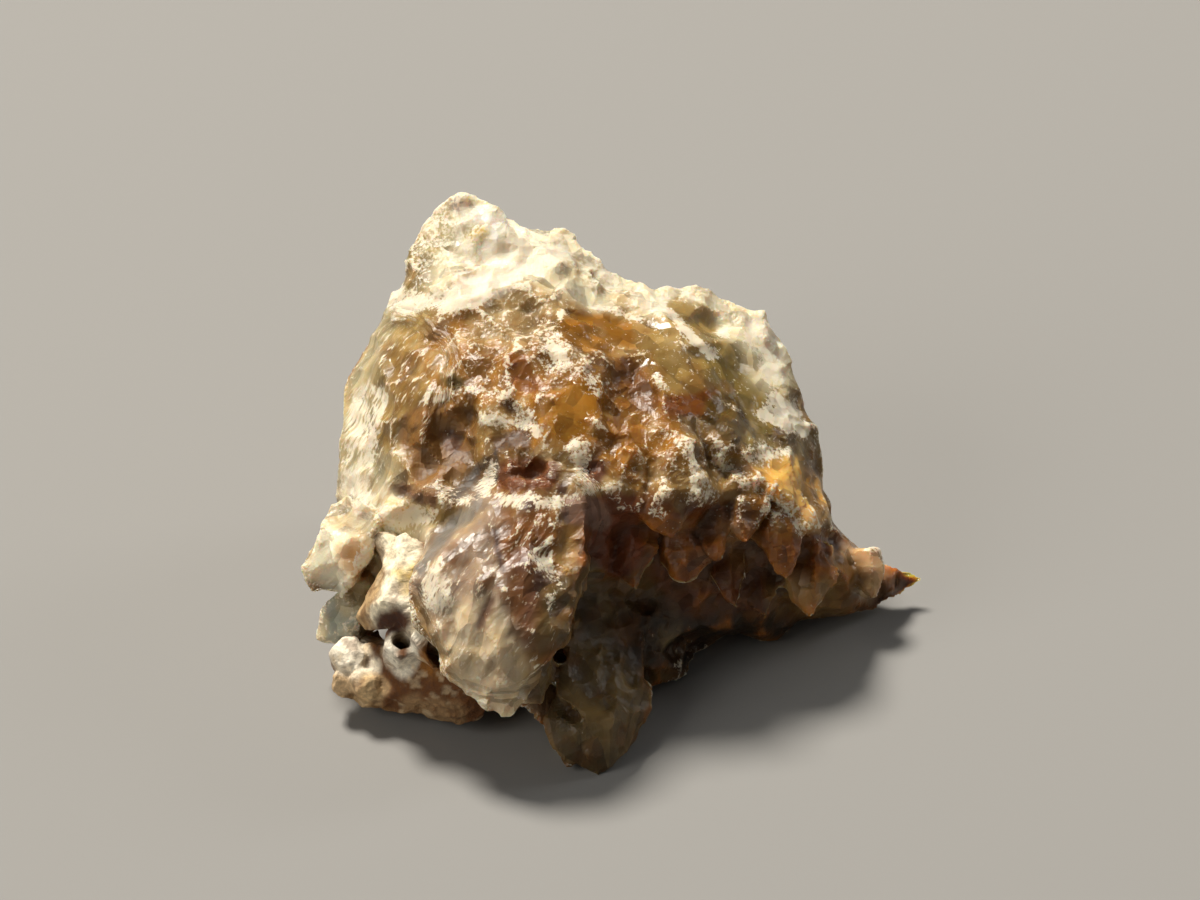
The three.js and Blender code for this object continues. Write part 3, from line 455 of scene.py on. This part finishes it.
AMBER_WINDOWS = [
    ("#a8701a", 0.45, [(-2.1, 7.8), (-0.8, 7.9), (0.5, 7.5)]),
    ("#9a5c10", 0.65, [(-4.9, 5.7), (-4.5, 4.9)]),
    ("#bc8430", 0.95, [(-2.8, 3.0), (-2.3, 3.9)]),
    ("#7c4c10", 0.70, [(0.5, 5.7), (1.4, 3.9)]),
    ("#7c4412", 0.60, [(2.8, 3.6), (4.4, 3.9)]),
    ("#6e5420", 0.85, [(5.2, 3.4), (5.9, 2.6)]),
    ("#9a6412", 0.60, [(0.2, 2.5), (1.0, 2.0)]),
    ("#b4924c", 0.6, [(3.0, 8.4), (4.6, 8.1)]),
    ("#e8b458", 0.8, [(8.6, 0.4), (9.0, -0.6)]),
]
BROWN_HOLLOWS = [
    ("#7a5424", 1.3, [(-9.6, 2.4), (-8.0, 2.4), (-9.0, 0.8)]),
    ("#5e3818", 0.6, [(-8.1, 2.0)]),
    ("#6a3812", 0.85, [(-5.0, 0.3), (-3.7, 0.3)]),
    ("#5c2a0c", 0.65, [(-0.9, 0.5)]),
    ("#5c3c1c", 0.40, [(-5.6, 2.0), (-4.4, 2.1)]),
    ("#583818", 0.35, [(-5.2, 3.6)]),
    ("#5c4a18", 0.45, [(-7.9, 4.9)]),
    ("#703a1a", 1.3, [(0.0, -1.8), (0.0, -3.4)]),
    ("#80604e", 0.8, [(-1.9, -1.4), (-0.9, -1.6)]),
    ("#4c2410", 0.3, [(-2.7, -0.5)]),
    ("#4c2410", 0.3, [(-4.2, -1.3)]),
    ("#54483c", 0.25, [(-6.5, 1.0), (-7.9, -0.8)]),
    ("#54483c", 0.12, [(-6.0, 1.6), (-5.9, 0.1)]),
    ("#643f1c", 0.35, [(-10.6, -0.5), (-9.0, -0.9)]),
    ("#3c1c0c", 0.15, [(-6.0, -2.5), (-5.5, -4.4)]),
    ("#5a3414", 0.3, [(-6.2, -6.0), (-6.6, -7.2)]),
    ("#7c7468", 0.3, [(-6.8, -1.0), (-9.6, -4.4)]),
]
# How thickly the surface is whitened: share, half width and line. Most marks are crushed frost; some along
# edges are partly painted highlights, as marked.
FROST_AND_HIGHLIGHT_MARKS = [
    (0.42, 1.5, [(-9.2, 12.0), (-7.9, 13.4), (-6.2, 12.4), (-5.0, 11.6)]),
    (0.40, 1.0, [(-3.7, 12.1), (-2.2, 11.7), (-0.9, 10.6)]),
    (0.42, 0.7, [(-0.6, 10.0), (1.2, 9.6), (2.6, 9.5), (5.2, 9.0), (7.2, 8.1)]),
    (0.78, 0.8, [(7.4, 7.6), (7.9, 6.2), (8.0, 5.4)]),
    (1.00, 0.60, [(-10.8, 8.9), (-9.0, 8.9), (-7.3, 9.1), (-5.8, 10.3), (-4.4, 11.1), (-2.8, 11.4)]),
    (0.95, 0.9, [(-7.4, 9.6), (-6.0, 10.8), (-5.2, 11.6)]),
    # Partly painted highlight, partly frost: the start of the white line along the upper rib.
    (0.70, 0.25, [(-1.5, 10.6), (-0.6, 10.4), (1.2, 9.0), (2.4, 8.4)]),
    (0.80, 0.5, [(-10.4, 9.2), (-9.6, 9.1)]),
    (0.90, 0.16, [(-1.0, 8.8), (1.3, 8.1)]),
    (1.00, 0.45, [(7.6, 3.3), (8.4, 2.9), (9.4, 2.7)]),
    (0.95, 0.6, [(8.0, 3.8), (8.8, 3.5)]),
    # Partly painted highlight, partly frost: the white line down the upper rib.
    (1.40, 0.22, [(2.3, 8.7), (3.7, 7.5), (4.4, 6.6), (4.9, 6.3)]),
    (0.80, 0.4, [(5.5, 7.6)]),
    (0.70, 0.12, [(5.2, 3.9), (6.5, 3.1)]),
    (0.80, 0.3, [(10.4, 2.1)]),
    (0.66, 0.20, [(2.4, 2.3), (3.2, 1.7), (3.8, 0.7), (4.0, -0.8), (4.6, -0.6)]),
    (0.68, 0.22, [(5.0, 1.2), (5.9, 0.4), (6.9, -0.3), (8.0, -0.9), (8.5, -1.5), (9.2, -2.7), (10.3, -3.5)]),
    (0.60, 0.4, [(6.6, 1.3), (8.4, 1.2)]),
    (0.62, 0.38, [(-3.2, 6.4), (-2.4, 5.7), (-1.2, 5.1)]),
    (0.38, 0.9, [(-3.4, 7.2), (-2.6, 6.0)]),
    (0.58, 0.30, [(-9.5, 3.7), (-7.4, 4.5), (-5.8, 4.1), (-4.2, 3.2)]),
    (0.80, 0.30, [(-6.5, 3.0), (-5.0, 2.9), (-3.8, 2.5)]),
    (0.62, 0.5, [(-2.0, 1.5), (-1.6, 0.6), (-1.2, -0.3)]),
    (0.55, 0.5, [(-13.1, 1.6), (-12.8, 3.2)]),
    (0.60, 0.8, [(-12.4, 4.0), (-13.0, 0.0)]),
    (0.62, 0.6, [(-12.6, -1.2), (-11.0, -1.9), (-9.2, -1.6)]),
    (0.60, 0.4, [(-8.6, -0.4), (-7.6, -0.9)]),
    (0.64, 0.4, [(-5.5, -0.9), (-3.4, -1.2), (-1.6, -0.8)]),
    (0.60, 0.5, [(-6.0, 0.6), (-6.4, -0.4)]),
    (0.74, 0.18, [(-3.1, -5.8), (-3.1, -8.2)]),
    # Partly painted highlight, partly frost: a white edge at the top of the lobe.
    (0.70, 0.16, [(-4.2, -3.6), (-2.9, -2.8)]),
    (0.80, 0.4, [(-3.7, -3.8), (-2.6, -5.2)]),
    (0.60, 0.7, [(-9.0, -4.6), (-8.6, -6.0)]),
    # Partly painted highlight, partly frost: a cream line above the tail.
    (0.70, 0.14, [(11.6, -4.0), (12.2, -5.5)]),
    (0.70, 0.2, [(2.0, -1.5), (3.1, -2.6)]),
]

STONE_TONE = "#9c7a44"
DARK_MOTTLE = "#6c4414"
PALE_MOTTLE = "#c4a872"
HOLLOW_SHADE_BROWN = "#4c2c0e"
BACK_TAN = "#c2b184"
BACK_RUST = "#96601c"
PAINTED_TIP_HIGHLIGHT = "#9c6020"
DARKEST, PALEST = 0.004, 0.95
BODY_SOFTNESS = 0.6
WINDOW_SOFTNESS = 0.2
WHITE_MARK_SOFTNESS = 0.3
WINDOW_CLEARNESS = 0.30
HOLLOW_CLEARNESS = 0.02
RAGGED_REACH = 0.5
ragged = wandering(rock, RAGGED, 2)


def stroke(half_width, line, softness):
    """How much each vertex lies in a stroke with a ragged edge, on the front only."""
    marked = spots[:, :2] + min(RAGGED_REACH, 1.2 * half_width) * ragged
    return near_line(marked, line, half_width, softness) * in_front


def tinted(colours, share, hex_colour):
    """Colours drawn towards one colour, each by its own share."""
    return colours + share[:, None] * (np.array(linear(hex_colour)) - colours)


colour = np.tile(np.array(linear(STONE_TONE)), (len(rock), 1))
for hex_colour, half_width, line in BODY_TONES:
    colour = tinted(colour, stroke(half_width, line, min(BODY_SOFTNESS, half_width)), hex_colour)
mottle = layered_noise(rock, *MOTTLE)
colour = tinted(colour, 0.55 * ramp(mottle, 0.02, 0.35) * (1 - clouded), DARK_MOTTLE)
colour = tinted(colour, 0.45 * ramp(-mottle, 0.10, 0.45) * (1 - 0.8 * shaded), PALE_MOTTLE)
# Painted shade: hollows of the skin are drawn towards a deep brown, less so where the crest is clouded.
colour = tinted(colour, 0.55 * ramp(-mid_form, 0.02, 0.22) * (1 - 0.7 * clouded), HOLLOW_SHADE_BROWN)

# Behind, the same stone runs on in broad patches of tan and rusty brown.
behind = 1 - in_front
patches = layered_noise(rock, *BACK_PATCHES)
colour = tinted(colour, 0.8 * behind * ramp(patches, 0.05, 0.35), BACK_TAN)
colour = tinted(colour, 0.8 * behind * ramp(-patches, 0.05, 0.35), BACK_RUST)

# Painted highlight: the tips of the little crystals under the brow are lightened towards amber, as if they
# caught what light there is.
tip_highlight = ramp(mid_form, 0.03, 0.20) * shaded * (1 - foot_striated) * ramp(mottle, -0.35, 0.25)
colour = tinted(colour, 0.8 * tip_highlight, PAINTED_TIP_HIGHLIGHT)

# Deep, clear places show the stone's inside; crushed ones are white with tiny cracks.
clear = (0.12 + 0.12 * behind * ramp(-patches, 0.05, 0.35)) * (1 - 0.8 * shaded)
dull = 0.7 * shaded
unfrosted = 0.10 * glassy + 0.65 * shaded
for tones, clearness in ((AMBER_WINDOWS, WINDOW_CLEARNESS), (BROWN_HOLLOWS, HOLLOW_CLEARNESS)):
    for hex_colour, half_width, line in tones:
        inside = stroke(half_width, line, min(WINDOW_SOFTNESS, half_width))
        colour = tinted(colour, 0.92 * inside, hex_colour)
        clear = clear + inside * (clearness - clear)
        unfrosted = np.maximum(unfrosted, 0.30 * inside)
        dull = np.maximum(dull, (1 - 2 * clearness) * inside)
colour *= (1 + 0.45 * layered_noise(lines, *STRIPES) * striped)[:, None]
# Painted shade: broad hollows of the stone are darkened by up to a quarter.
colour *= (1 - 0.25 * ramp(-broad_form, 0.05, 0.55))[:, None]
colour = np.clip(colour, DARKEST, PALEST)

# Frost lies on what stands out, thickest on the crests and along the marks. The white on sharp ridges is
# partly crushed frost and partly a painted glint.
frost_and_highlight_sum = 0.12 * ramp(rock[:, 2], 9.0, 16.0)
gathered = ramp(layered_noise(rock, *GATHERING), -0.25, 0.35)
back_patches = 0.45 * ramp(layered_noise(rock, *BACK_FROST), 0.05, 0.30)
back_crest = 0.35 * ramp(rock[:, 2], 12.5, 17.0)
frost_and_highlight_sum += behind * (back_patches + back_crest)
frost_and_highlight_sum += 0.40 * ramp(fine_form, 0.014, 0.045) + 0.20 * ramp(mid_form, 0.05, 0.20) * gathered
for share, half_width, line in FROST_AND_HIGHLIGHT_MARKS:
    frost_and_highlight_sum = np.maximum(frost_and_highlight_sum, share * stroke(half_width, line, min(WHITE_MARK_SOFTNESS, 1.5 * half_width)))
crumbs = 0.6 * layered_noise(rock, *CRUMBS) + 0.4 * layered_noise(lines, *FINE_CRUMBS)
frost_and_highlight = np.clip(frost_and_highlight_sum * (1 + 0.8 * crumbs) + 0.20 * crumbs - unfrosted, -0.4, 1)
smooth = glassy * (1 - np.clip(frost_and_highlight, 0, 1)) - dull


def store(mesh, name, values):
    """Keeps a value for each vertex, for the material to read."""
    kept = mesh.attributes.new(name, "FLOAT_VECTOR", "POINT")
    kept.data.foreach_set("vector", values.ravel())


store(crystal_mesh, "stone_colour", colour)
store(crystal_mesh, "stone_finish", np.stack([frost_and_highlight, clear, smooth], axis=1))
store(crystal_mesh, "stone_grain", rock + striped[:, None] * (lines - rock))
crystal_mesh.vertices.foreach_set("co", (rock * MM).ravel())
crystal_mesh.update()
crystal = bpy.data.objects.new("herderite", crystal_mesh)
scene.collection.objects.link(crystal)

# Herderite: a glassy phosphate, cloudy with flaws, so light goes in, scatters and comes out amber.
# Its breaks are full of tiny flat flakes that glint one by one; crushed crests are white and dull.
HERDERITE_IOR = 1.60
SPECULAR_LEVEL = 0.30
CLOUDINESS = 0.8
CLOUD_REACH = 0.7
CLOUD_COLOURS = (1.0, 0.62, 0.35)
INSIDE_TINT = "#d89a3c"
INSIDE_DENSITY = 90.0
FLAKE_SIZE = 0.90
FLAKE_TILT = 0.50
GLASSY_TILT = 0.25
FLAKE_TONES = (0.76, 1.24)
WARP = {"Scale": 0.9, "Detail": 3.0}
WARP_REACH = 0.4
CRUMBLING = {"Scale": 5.5, "Detail": 4.0, "Roughness": 0.65}
CRUMB_HEIGHT = 0.04
CRACK_HALF_WIDTH = 0.035
CRACK_WHITENESS = 0.11
FROST_AND_HIGHLIGHT_WEIGHT = 0.42
FROST_AND_HIGHLIGHT_WHITE = "#e2d8c0"
WHITENED_FROM, WHITENED_FULLY = 0.63, 0.76
WHITENED_MOST = 0.92
DULL_ROUGHNESS = 0.50
GLASSY_ROUGHNESS = 0.14
CRUSHED_ROUGHNESS = 0.3

herderite = bpy.data.materials.new("cloudy_herderite")
herderite.use_nodes = True
tree = herderite.node_tree
shader = tree.nodes["Principled BSDF"]
tone = add_node(tree, "ShaderNodeAttribute", {"attribute_name": "stone_colour"}).outputs["Vector"]
finish = add_node(tree, "ShaderNodeAttribute", {"attribute_name": "stone_finish"}).outputs["Vector"]
grain = add_node(tree, "ShaderNodeAttribute", {"attribute_name": "stone_grain"}).outputs["Vector"]
shares = add_node(tree, "ShaderNodeSeparateXYZ", links={"Vector": finish}).outputs
frost_and_highlight_share, clear_share, smooth_share = shares["X"], shares["Y"], shares["Z"]

# Flakes: each cell of the pattern is one flat face with its own tilt.
warp = add_node(tree, "ShaderNodeTexNoise", values=WARP, links={"Vector": grain})
bent = add_node(
    tree,
    "ShaderNodeVectorMath",
    {"operation": "MULTIPLY_ADD"},
    {1: (WARP_REACH, WARP_REACH, WARP_REACH)},
    {0: warp.outputs["Color"], 2: grain},
).outputs["Vector"]
flakes = add_node(
    tree, "ShaderNodeTexVoronoi", values={"Scale": 1 / FLAKE_SIZE}, links={"Vector": bent}
).outputs
away = add_node(
    tree, "ShaderNodeVectorMath", {"operation": "SUBTRACT"}, links={0: bent, 1: flakes["Position"]}
).outputs["Vector"]
tilt = add_node(
    tree,
    "ShaderNodeVectorMath",
    {"operation": "SUBTRACT"},
    {1: (0.5, 0.5, 0.5)},
    {0: flakes["Color"]},
).outputs["Vector"]
rise = add_node(
    tree, "ShaderNodeVectorMath", {"operation": "DOT_PRODUCT"}, links={0: away, 1: tilt}
).outputs["Value"]
crumbling = add_node(
    tree,
    "ShaderNodeTexNoise",
    values=CRUMBLING,
    links={"Vector": grain},
).outputs["Fac"]
relief = add_node(
    tree,
    "ShaderNodeMath",
    {"operation": "MULTIPLY_ADD"},
    {1: CRUMB_HEIGHT},
    {0: crumbling, 2: rise},
).outputs["Value"]
calm = add_node(
    tree,
    "ShaderNodeMapRange",
    values={"From Min": 0.0, "To Min": FLAKE_TILT, "To Max": GLASSY_TILT},
    links={"Value": smooth_share},
).outputs["Result"]
bump = add_node(tree, "ShaderNodeBump", values={"Distance": MM}, links={"Height": relief, "Strength": calm})
tree.links.new(bump.outputs["Normal"], shader.inputs["Normal"])

# White crumbs gather where the surface is crushed, and along hair-thin healed cracks. The same white carries
# the painted glints on sharp ridges and the painted highlights along some edges.
off_crack = add_node(
    tree, "ShaderNodeMath", {"operation": "SUBTRACT"}, {1: 0.5}, {0: warp.outputs["Fac"]}
).outputs["Value"]
crack_distance = add_node(
    tree, "ShaderNodeMath", {"operation": "ABSOLUTE"}, links={0: off_crack}
).outputs["Value"]
crack = add_node(
    tree,
    "ShaderNodeMapRange",
    values={"From Max": CRACK_HALF_WIDTH, "To Min": CRACK_WHITENESS, "To Max": 0.0},
    links={"Value": crack_distance},
).outputs["Result"]
crumbs_and_cracks = add_node(
    tree, "ShaderNodeMath", {"operation": "ADD"}, links={0: crumbling, 1: crack}
).outputs["Value"]
gathering = add_node(
    tree,
    "ShaderNodeMath",
    {"operation": "MULTIPLY_ADD"},
    {1: FROST_AND_HIGHLIGHT_WEIGHT},
    {0: frost_and_highlight_share, 2: crumbs_and_cracks},
).outputs["Value"]
whitened = add_node(
    tree,
    "ShaderNodeMapRange",
    values={"From Min": WHITENED_FROM, "From Max": WHITENED_FULLY, "To Max": WHITENED_MOST},
    links={"Value": gathering},
).outputs["Result"]
flake_tone = add_node(tree, "ShaderNodeSeparateXYZ", links={"Vector": flakes["Color"]}).outputs["X"]
lightness = add_node(
    tree,
    "ShaderNodeMapRange",
    values={"To Min": FLAKE_TONES[0], "To Max": FLAKE_TONES[1]},
    links={"Value": flake_tone},
).outputs["Result"]
varied = add_node(
    tree,
    "ShaderNodeVectorMath",
    {"operation": "SCALE"},
    links={"Vector": tone, "Scale": lightness},
).outputs["Vector"]
dressed = add_node(
    tree,
    "ShaderNodeMixRGB",
    values={"Color2": (*linear(FROST_AND_HIGHLIGHT_WHITE), 1.0)},
    links={"Fac": whitened, "Color1": varied},
).outputs["Color"]
tree.links.new(dressed, shader.inputs["Base Color"])
gloss = add_node(
    tree,
    "ShaderNodeMapRange",
    values={"From Min": -1.0, "To Min": DULL_ROUGHNESS, "To Max": GLASSY_ROUGHNESS},
    links={"Value": smooth_share},
).outputs["Result"]
dulled = add_node(
    tree,
    "ShaderNodeMath",
    {"operation": "MULTIPLY_ADD"},
    {1: CRUSHED_ROUGHNESS},
    {0: whitened, 2: gloss},
).outputs["Value"]
tree.links.new(dulled, shader.inputs["Roughness"])
unwhitened = add_node(
    tree,
    "ShaderNodeMath",
    {"operation": "SUBTRACT"},
    {0: 1.0},
    {1: whitened},
).outputs["Value"]
see_through = add_node(
    tree,
    "ShaderNodeMath",
    {"operation": "MULTIPLY"},
    links={0: clear_share, 1: unwhitened},
).outputs["Value"]
tree.links.new(see_through, shader.inputs["Transmission Weight"])
shader.inputs["IOR"].default_value = HERDERITE_IOR
shader.inputs["Specular IOR Level"].default_value = SPECULAR_LEVEL
shader.inputs["Subsurface Weight"].default_value = CLOUDINESS
shader.inputs["Subsurface Radius"].default_value = CLOUD_COLOURS
shader.inputs["Subsurface Scale"].default_value = CLOUD_REACH * MM
absorption = add_node(
    tree,
    "ShaderNodeVolumeAbsorption",
    values={"Color": (*linear(INSIDE_TINT), 1.0), "Density": INSIDE_DENSITY},
)
tree.links.new(absorption.outputs["Volume"], tree.nodes["Material Output"].inputs["Volume"])
crystal_mesh.materials.append(herderite)
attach(crystal, "root")
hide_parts("herderite_crystal")


# The matrix remnant.
# What is left of the rock that the crystal grew on: a cream, chalky mass along the fissure, rusty earth
# under it, and a small hollow six-sided crystal mould. It is weathered, soft-looking and without gloss.
MATRIX_STEP = 0.12
MATRIX_SCOOPS = (
    {"size": 0.90, "depth": 0.09, "tilt": 0.14, "seed": 21},
    {"size": 0.40, "depth": 0.05, "tilt": 0.16, "seed": 22},
)
MATRIX_GRAIN = {"size": 0.35, "height": 0.05, "seed": 23}
TOUCHING = 0.4
CLOSE_BY = 0.65
BEYOND = 0.20
EARTH_BROWN = "#8a6438"
EARTH_HOLLOW_SHADE = "#4a2a14"
RUST = "#6b4018"
CHALK = "#dcc49c"
RAGGED_EARTH = (0.8, 80, 4)
RAGGED_EARTH_REACH = 0.35
RUST_SPECKS = (0.5, 90, 3)
CHALK_SPECKS = (0.6, 91, 3)

matrix_mesh = skin_of("matrix_remnant", MATRIX_STEP)
earth = vertices_of(matrix_mesh)
cad_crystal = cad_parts["herderite_crystal"].data
crystal_tree = BVHTree.FromPolygons(
    [vertex.co / MM for vertex in cad_crystal.vertices],
    [tuple(polygon.vertices) for polygon in cad_crystal.polygons],
)

# Where the matrix lies close to the crystal its skin is drawn into it, as it has grown on.
for number, spot in enumerate(earth):
    wall, _, _, distance = crystal_tree.find_nearest(Vector(spot), CLOSE_BY)
    if wall is not None:
        way = np.array(wall) - spot
        share = 1 - ramp(np.array(distance), TOUCHING, CLOSE_BY)
        earth[number] = spot + share * way * (1 + BEYOND / max(distance, 0.05))
chalk = ramp(earth[:, 2], 2.4, 3.4)
depth = sum(scooped(earth, scoop) for scoop in MATRIX_SCOOPS)
depth = depth + MATRIX_GRAIN["height"] * layered_noise(earth, MATRIX_GRAIN["size"], MATRIX_GRAIN["seed"], 3)
depth = depth * ramp(earth[:, 2], 0.05, 0.8) * (1 - 0.4 * chalk)
earth = earth + normals_of(matrix_mesh, earth) * depth[:, None]
earth[:, 2] = np.maximum(earth[:, 2], 0.0)

# The chalk's, the earth's and the pale nose's colours, as strokes: colour, half width and line. One dark
# earth stroke is painted shade.
CREAM_TONES = [
    ("#fff2d2", 1.1, [(-10.8, -3.2), (-11.2, -5.2), (-11.2, -6.6)]),
    ("#fff2d6", 0.7, [(-10.4, -6.0), (-9.8, -7.8), (-9.0, -9.0)]),
    ("#b8986a", 0.5, [(-11.9, -4.6), (-12.6, -6.2), (-12.9, -7.4)]),
    ("#d8b860", 0.35, [(-9.9, -4.4), (-9.8, -5.2)]),
    ("#e4cc8c", 0.3, [(-10.6, -4.6), (-10.4, -5.4)]),
]
EARTH_TONES = [
    ("#6b4018", 1.6, [(-11.4, -9.6), (-9.2, -10.4), (-7.4, -10.8)]),
    ("#9a7850", 0.7, [(-10.0, -11.3), (-8.0, -11.6)]),
    ("#8f5c20", 0.5, [(-9.6, -8.4), (-9.0, -9.4)]),
    # Painted shade: the dark in the hollow under the arch by the tube.
    ("#4a2814", 0.6, [(-11.4, -7.2), (-10.6, -6.9)]),
]
NOSE_TONES = [
    ("#fff4dc", 1.0, [(-13.2, -8.6), (-12.8, -9.4)]),
    ("#d8b88c", 0.7, [(-13.6, -10.2)]),
    ("#d4b484", 0.8, [(-12.2, -10.4)]),
    ("#fff6e0", 0.32, [(-11.2, -8.0), (-11.2, -8.8), (-10.6, -9.4), (-10.0, -8.8), (-10.0, -8.0)]),
]

marked = leaning(earth)[:, :2] + RAGGED_EARTH_REACH * wandering(earth, RAGGED_EARTH, 2)
colour = np.tile(np.array(linear(EARTH_BROWN)), (len(earth), 1))
for hex_colour, half_width, line in CREAM_TONES + EARTH_TONES + NOSE_TONES:
    colour = tinted(colour, near_line(marked, line, half_width, 0.25), hex_colour)
matrix_normals = normals_of(matrix_mesh, earth)
# Painted shade: the matrix's hollows are drawn towards a dark brown.
hollow = ramp(-standing_out(earth, edges_of(matrix_mesh), matrix_normals, 40), 0.02, 0.30)
colour = tinted(colour, 0.7 * hollow, EARTH_HOLLOW_SHADE)
colour = tinted(colour, 0.5 * ramp(layered_noise(earth, *RUST_SPECKS), 0.12, 0.36), RUST)
colour = tinted(colour, 0.5 * ramp(layered_noise(earth, *CHALK_SPECKS), 0.20, 0.40), CHALK)
store(matrix_mesh, "stone_colour", np.clip(colour, 0.005, 1))
matrix_mesh.vertices.foreach_set("co", (earth * MM).ravel())
matrix_mesh.update()
matrix = bpy.data.objects.new("matrix", matrix_mesh)
scene.collection.objects.link(matrix)

# Weathered matrix: dull and grainy, with a powdery surface that scatters light at once.
POWDER_SIZE = 0.26
POWDER_RANGE = (0.3, 0.7)
POWDER_TONES = (0.62, 1.20)
POWDER_ROUGHNESS = (0.70, 0.95)
POWDER_RELIEF = 0.12
POWDER_STRENGTH = 0.8

weathered = bpy.data.materials.new("weathered_matrix")
weathered.use_nodes = True
tree = weathered.node_tree
shader = tree.nodes["Principled BSDF"]
coordinates = add_node(tree, "ShaderNodeTexCoord").outputs["Object"]
tone = add_node(tree, "ShaderNodeAttribute", {"attribute_name": "stone_colour"}).outputs["Vector"]
powder = add_node(
    tree,
    "ShaderNodeTexNoise",
    values={"Scale": 1 / (POWDER_SIZE * MM), "Detail": 4.0, "Roughness": 0.7},
    links={"Vector": coordinates},
).outputs["Fac"]
lightness = add_node(
    tree,
    "ShaderNodeMapRange",
    values={
        "From Min": POWDER_RANGE[0],
        "From Max": POWDER_RANGE[1],
        "To Min": POWDER_TONES[0],
        "To Max": POWDER_TONES[1],
    },
    links={"Value": powder},
).outputs["Result"]
varied = add_node(
    tree,
    "ShaderNodeVectorMath",
    {"operation": "SCALE"},
    links={"Vector": tone, "Scale": lightness},
).outputs["Vector"]
tree.links.new(varied, shader.inputs["Base Color"])
dullness = add_node(
    tree,
    "ShaderNodeMapRange",
    values={
        "From Min": POWDER_RANGE[0],
        "From Max": POWDER_RANGE[1],
        "To Min": POWDER_ROUGHNESS[0],
        "To Max": POWDER_ROUGHNESS[1],
    },
    links={"Value": powder},
).outputs["Result"]
tree.links.new(dullness, shader.inputs["Roughness"])
bump = add_node(
    tree,
    "ShaderNodeBump",
    values={"Strength": POWDER_STRENGTH, "Distance": POWDER_RELIEF * MM},
    links={"Height": powder},
)
tree.links.new(bump.outputs["Normal"], shader.inputs["Normal"])
matrix_mesh.materials.append(weathered)
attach(matrix, "root")
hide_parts("matrix_remnant")
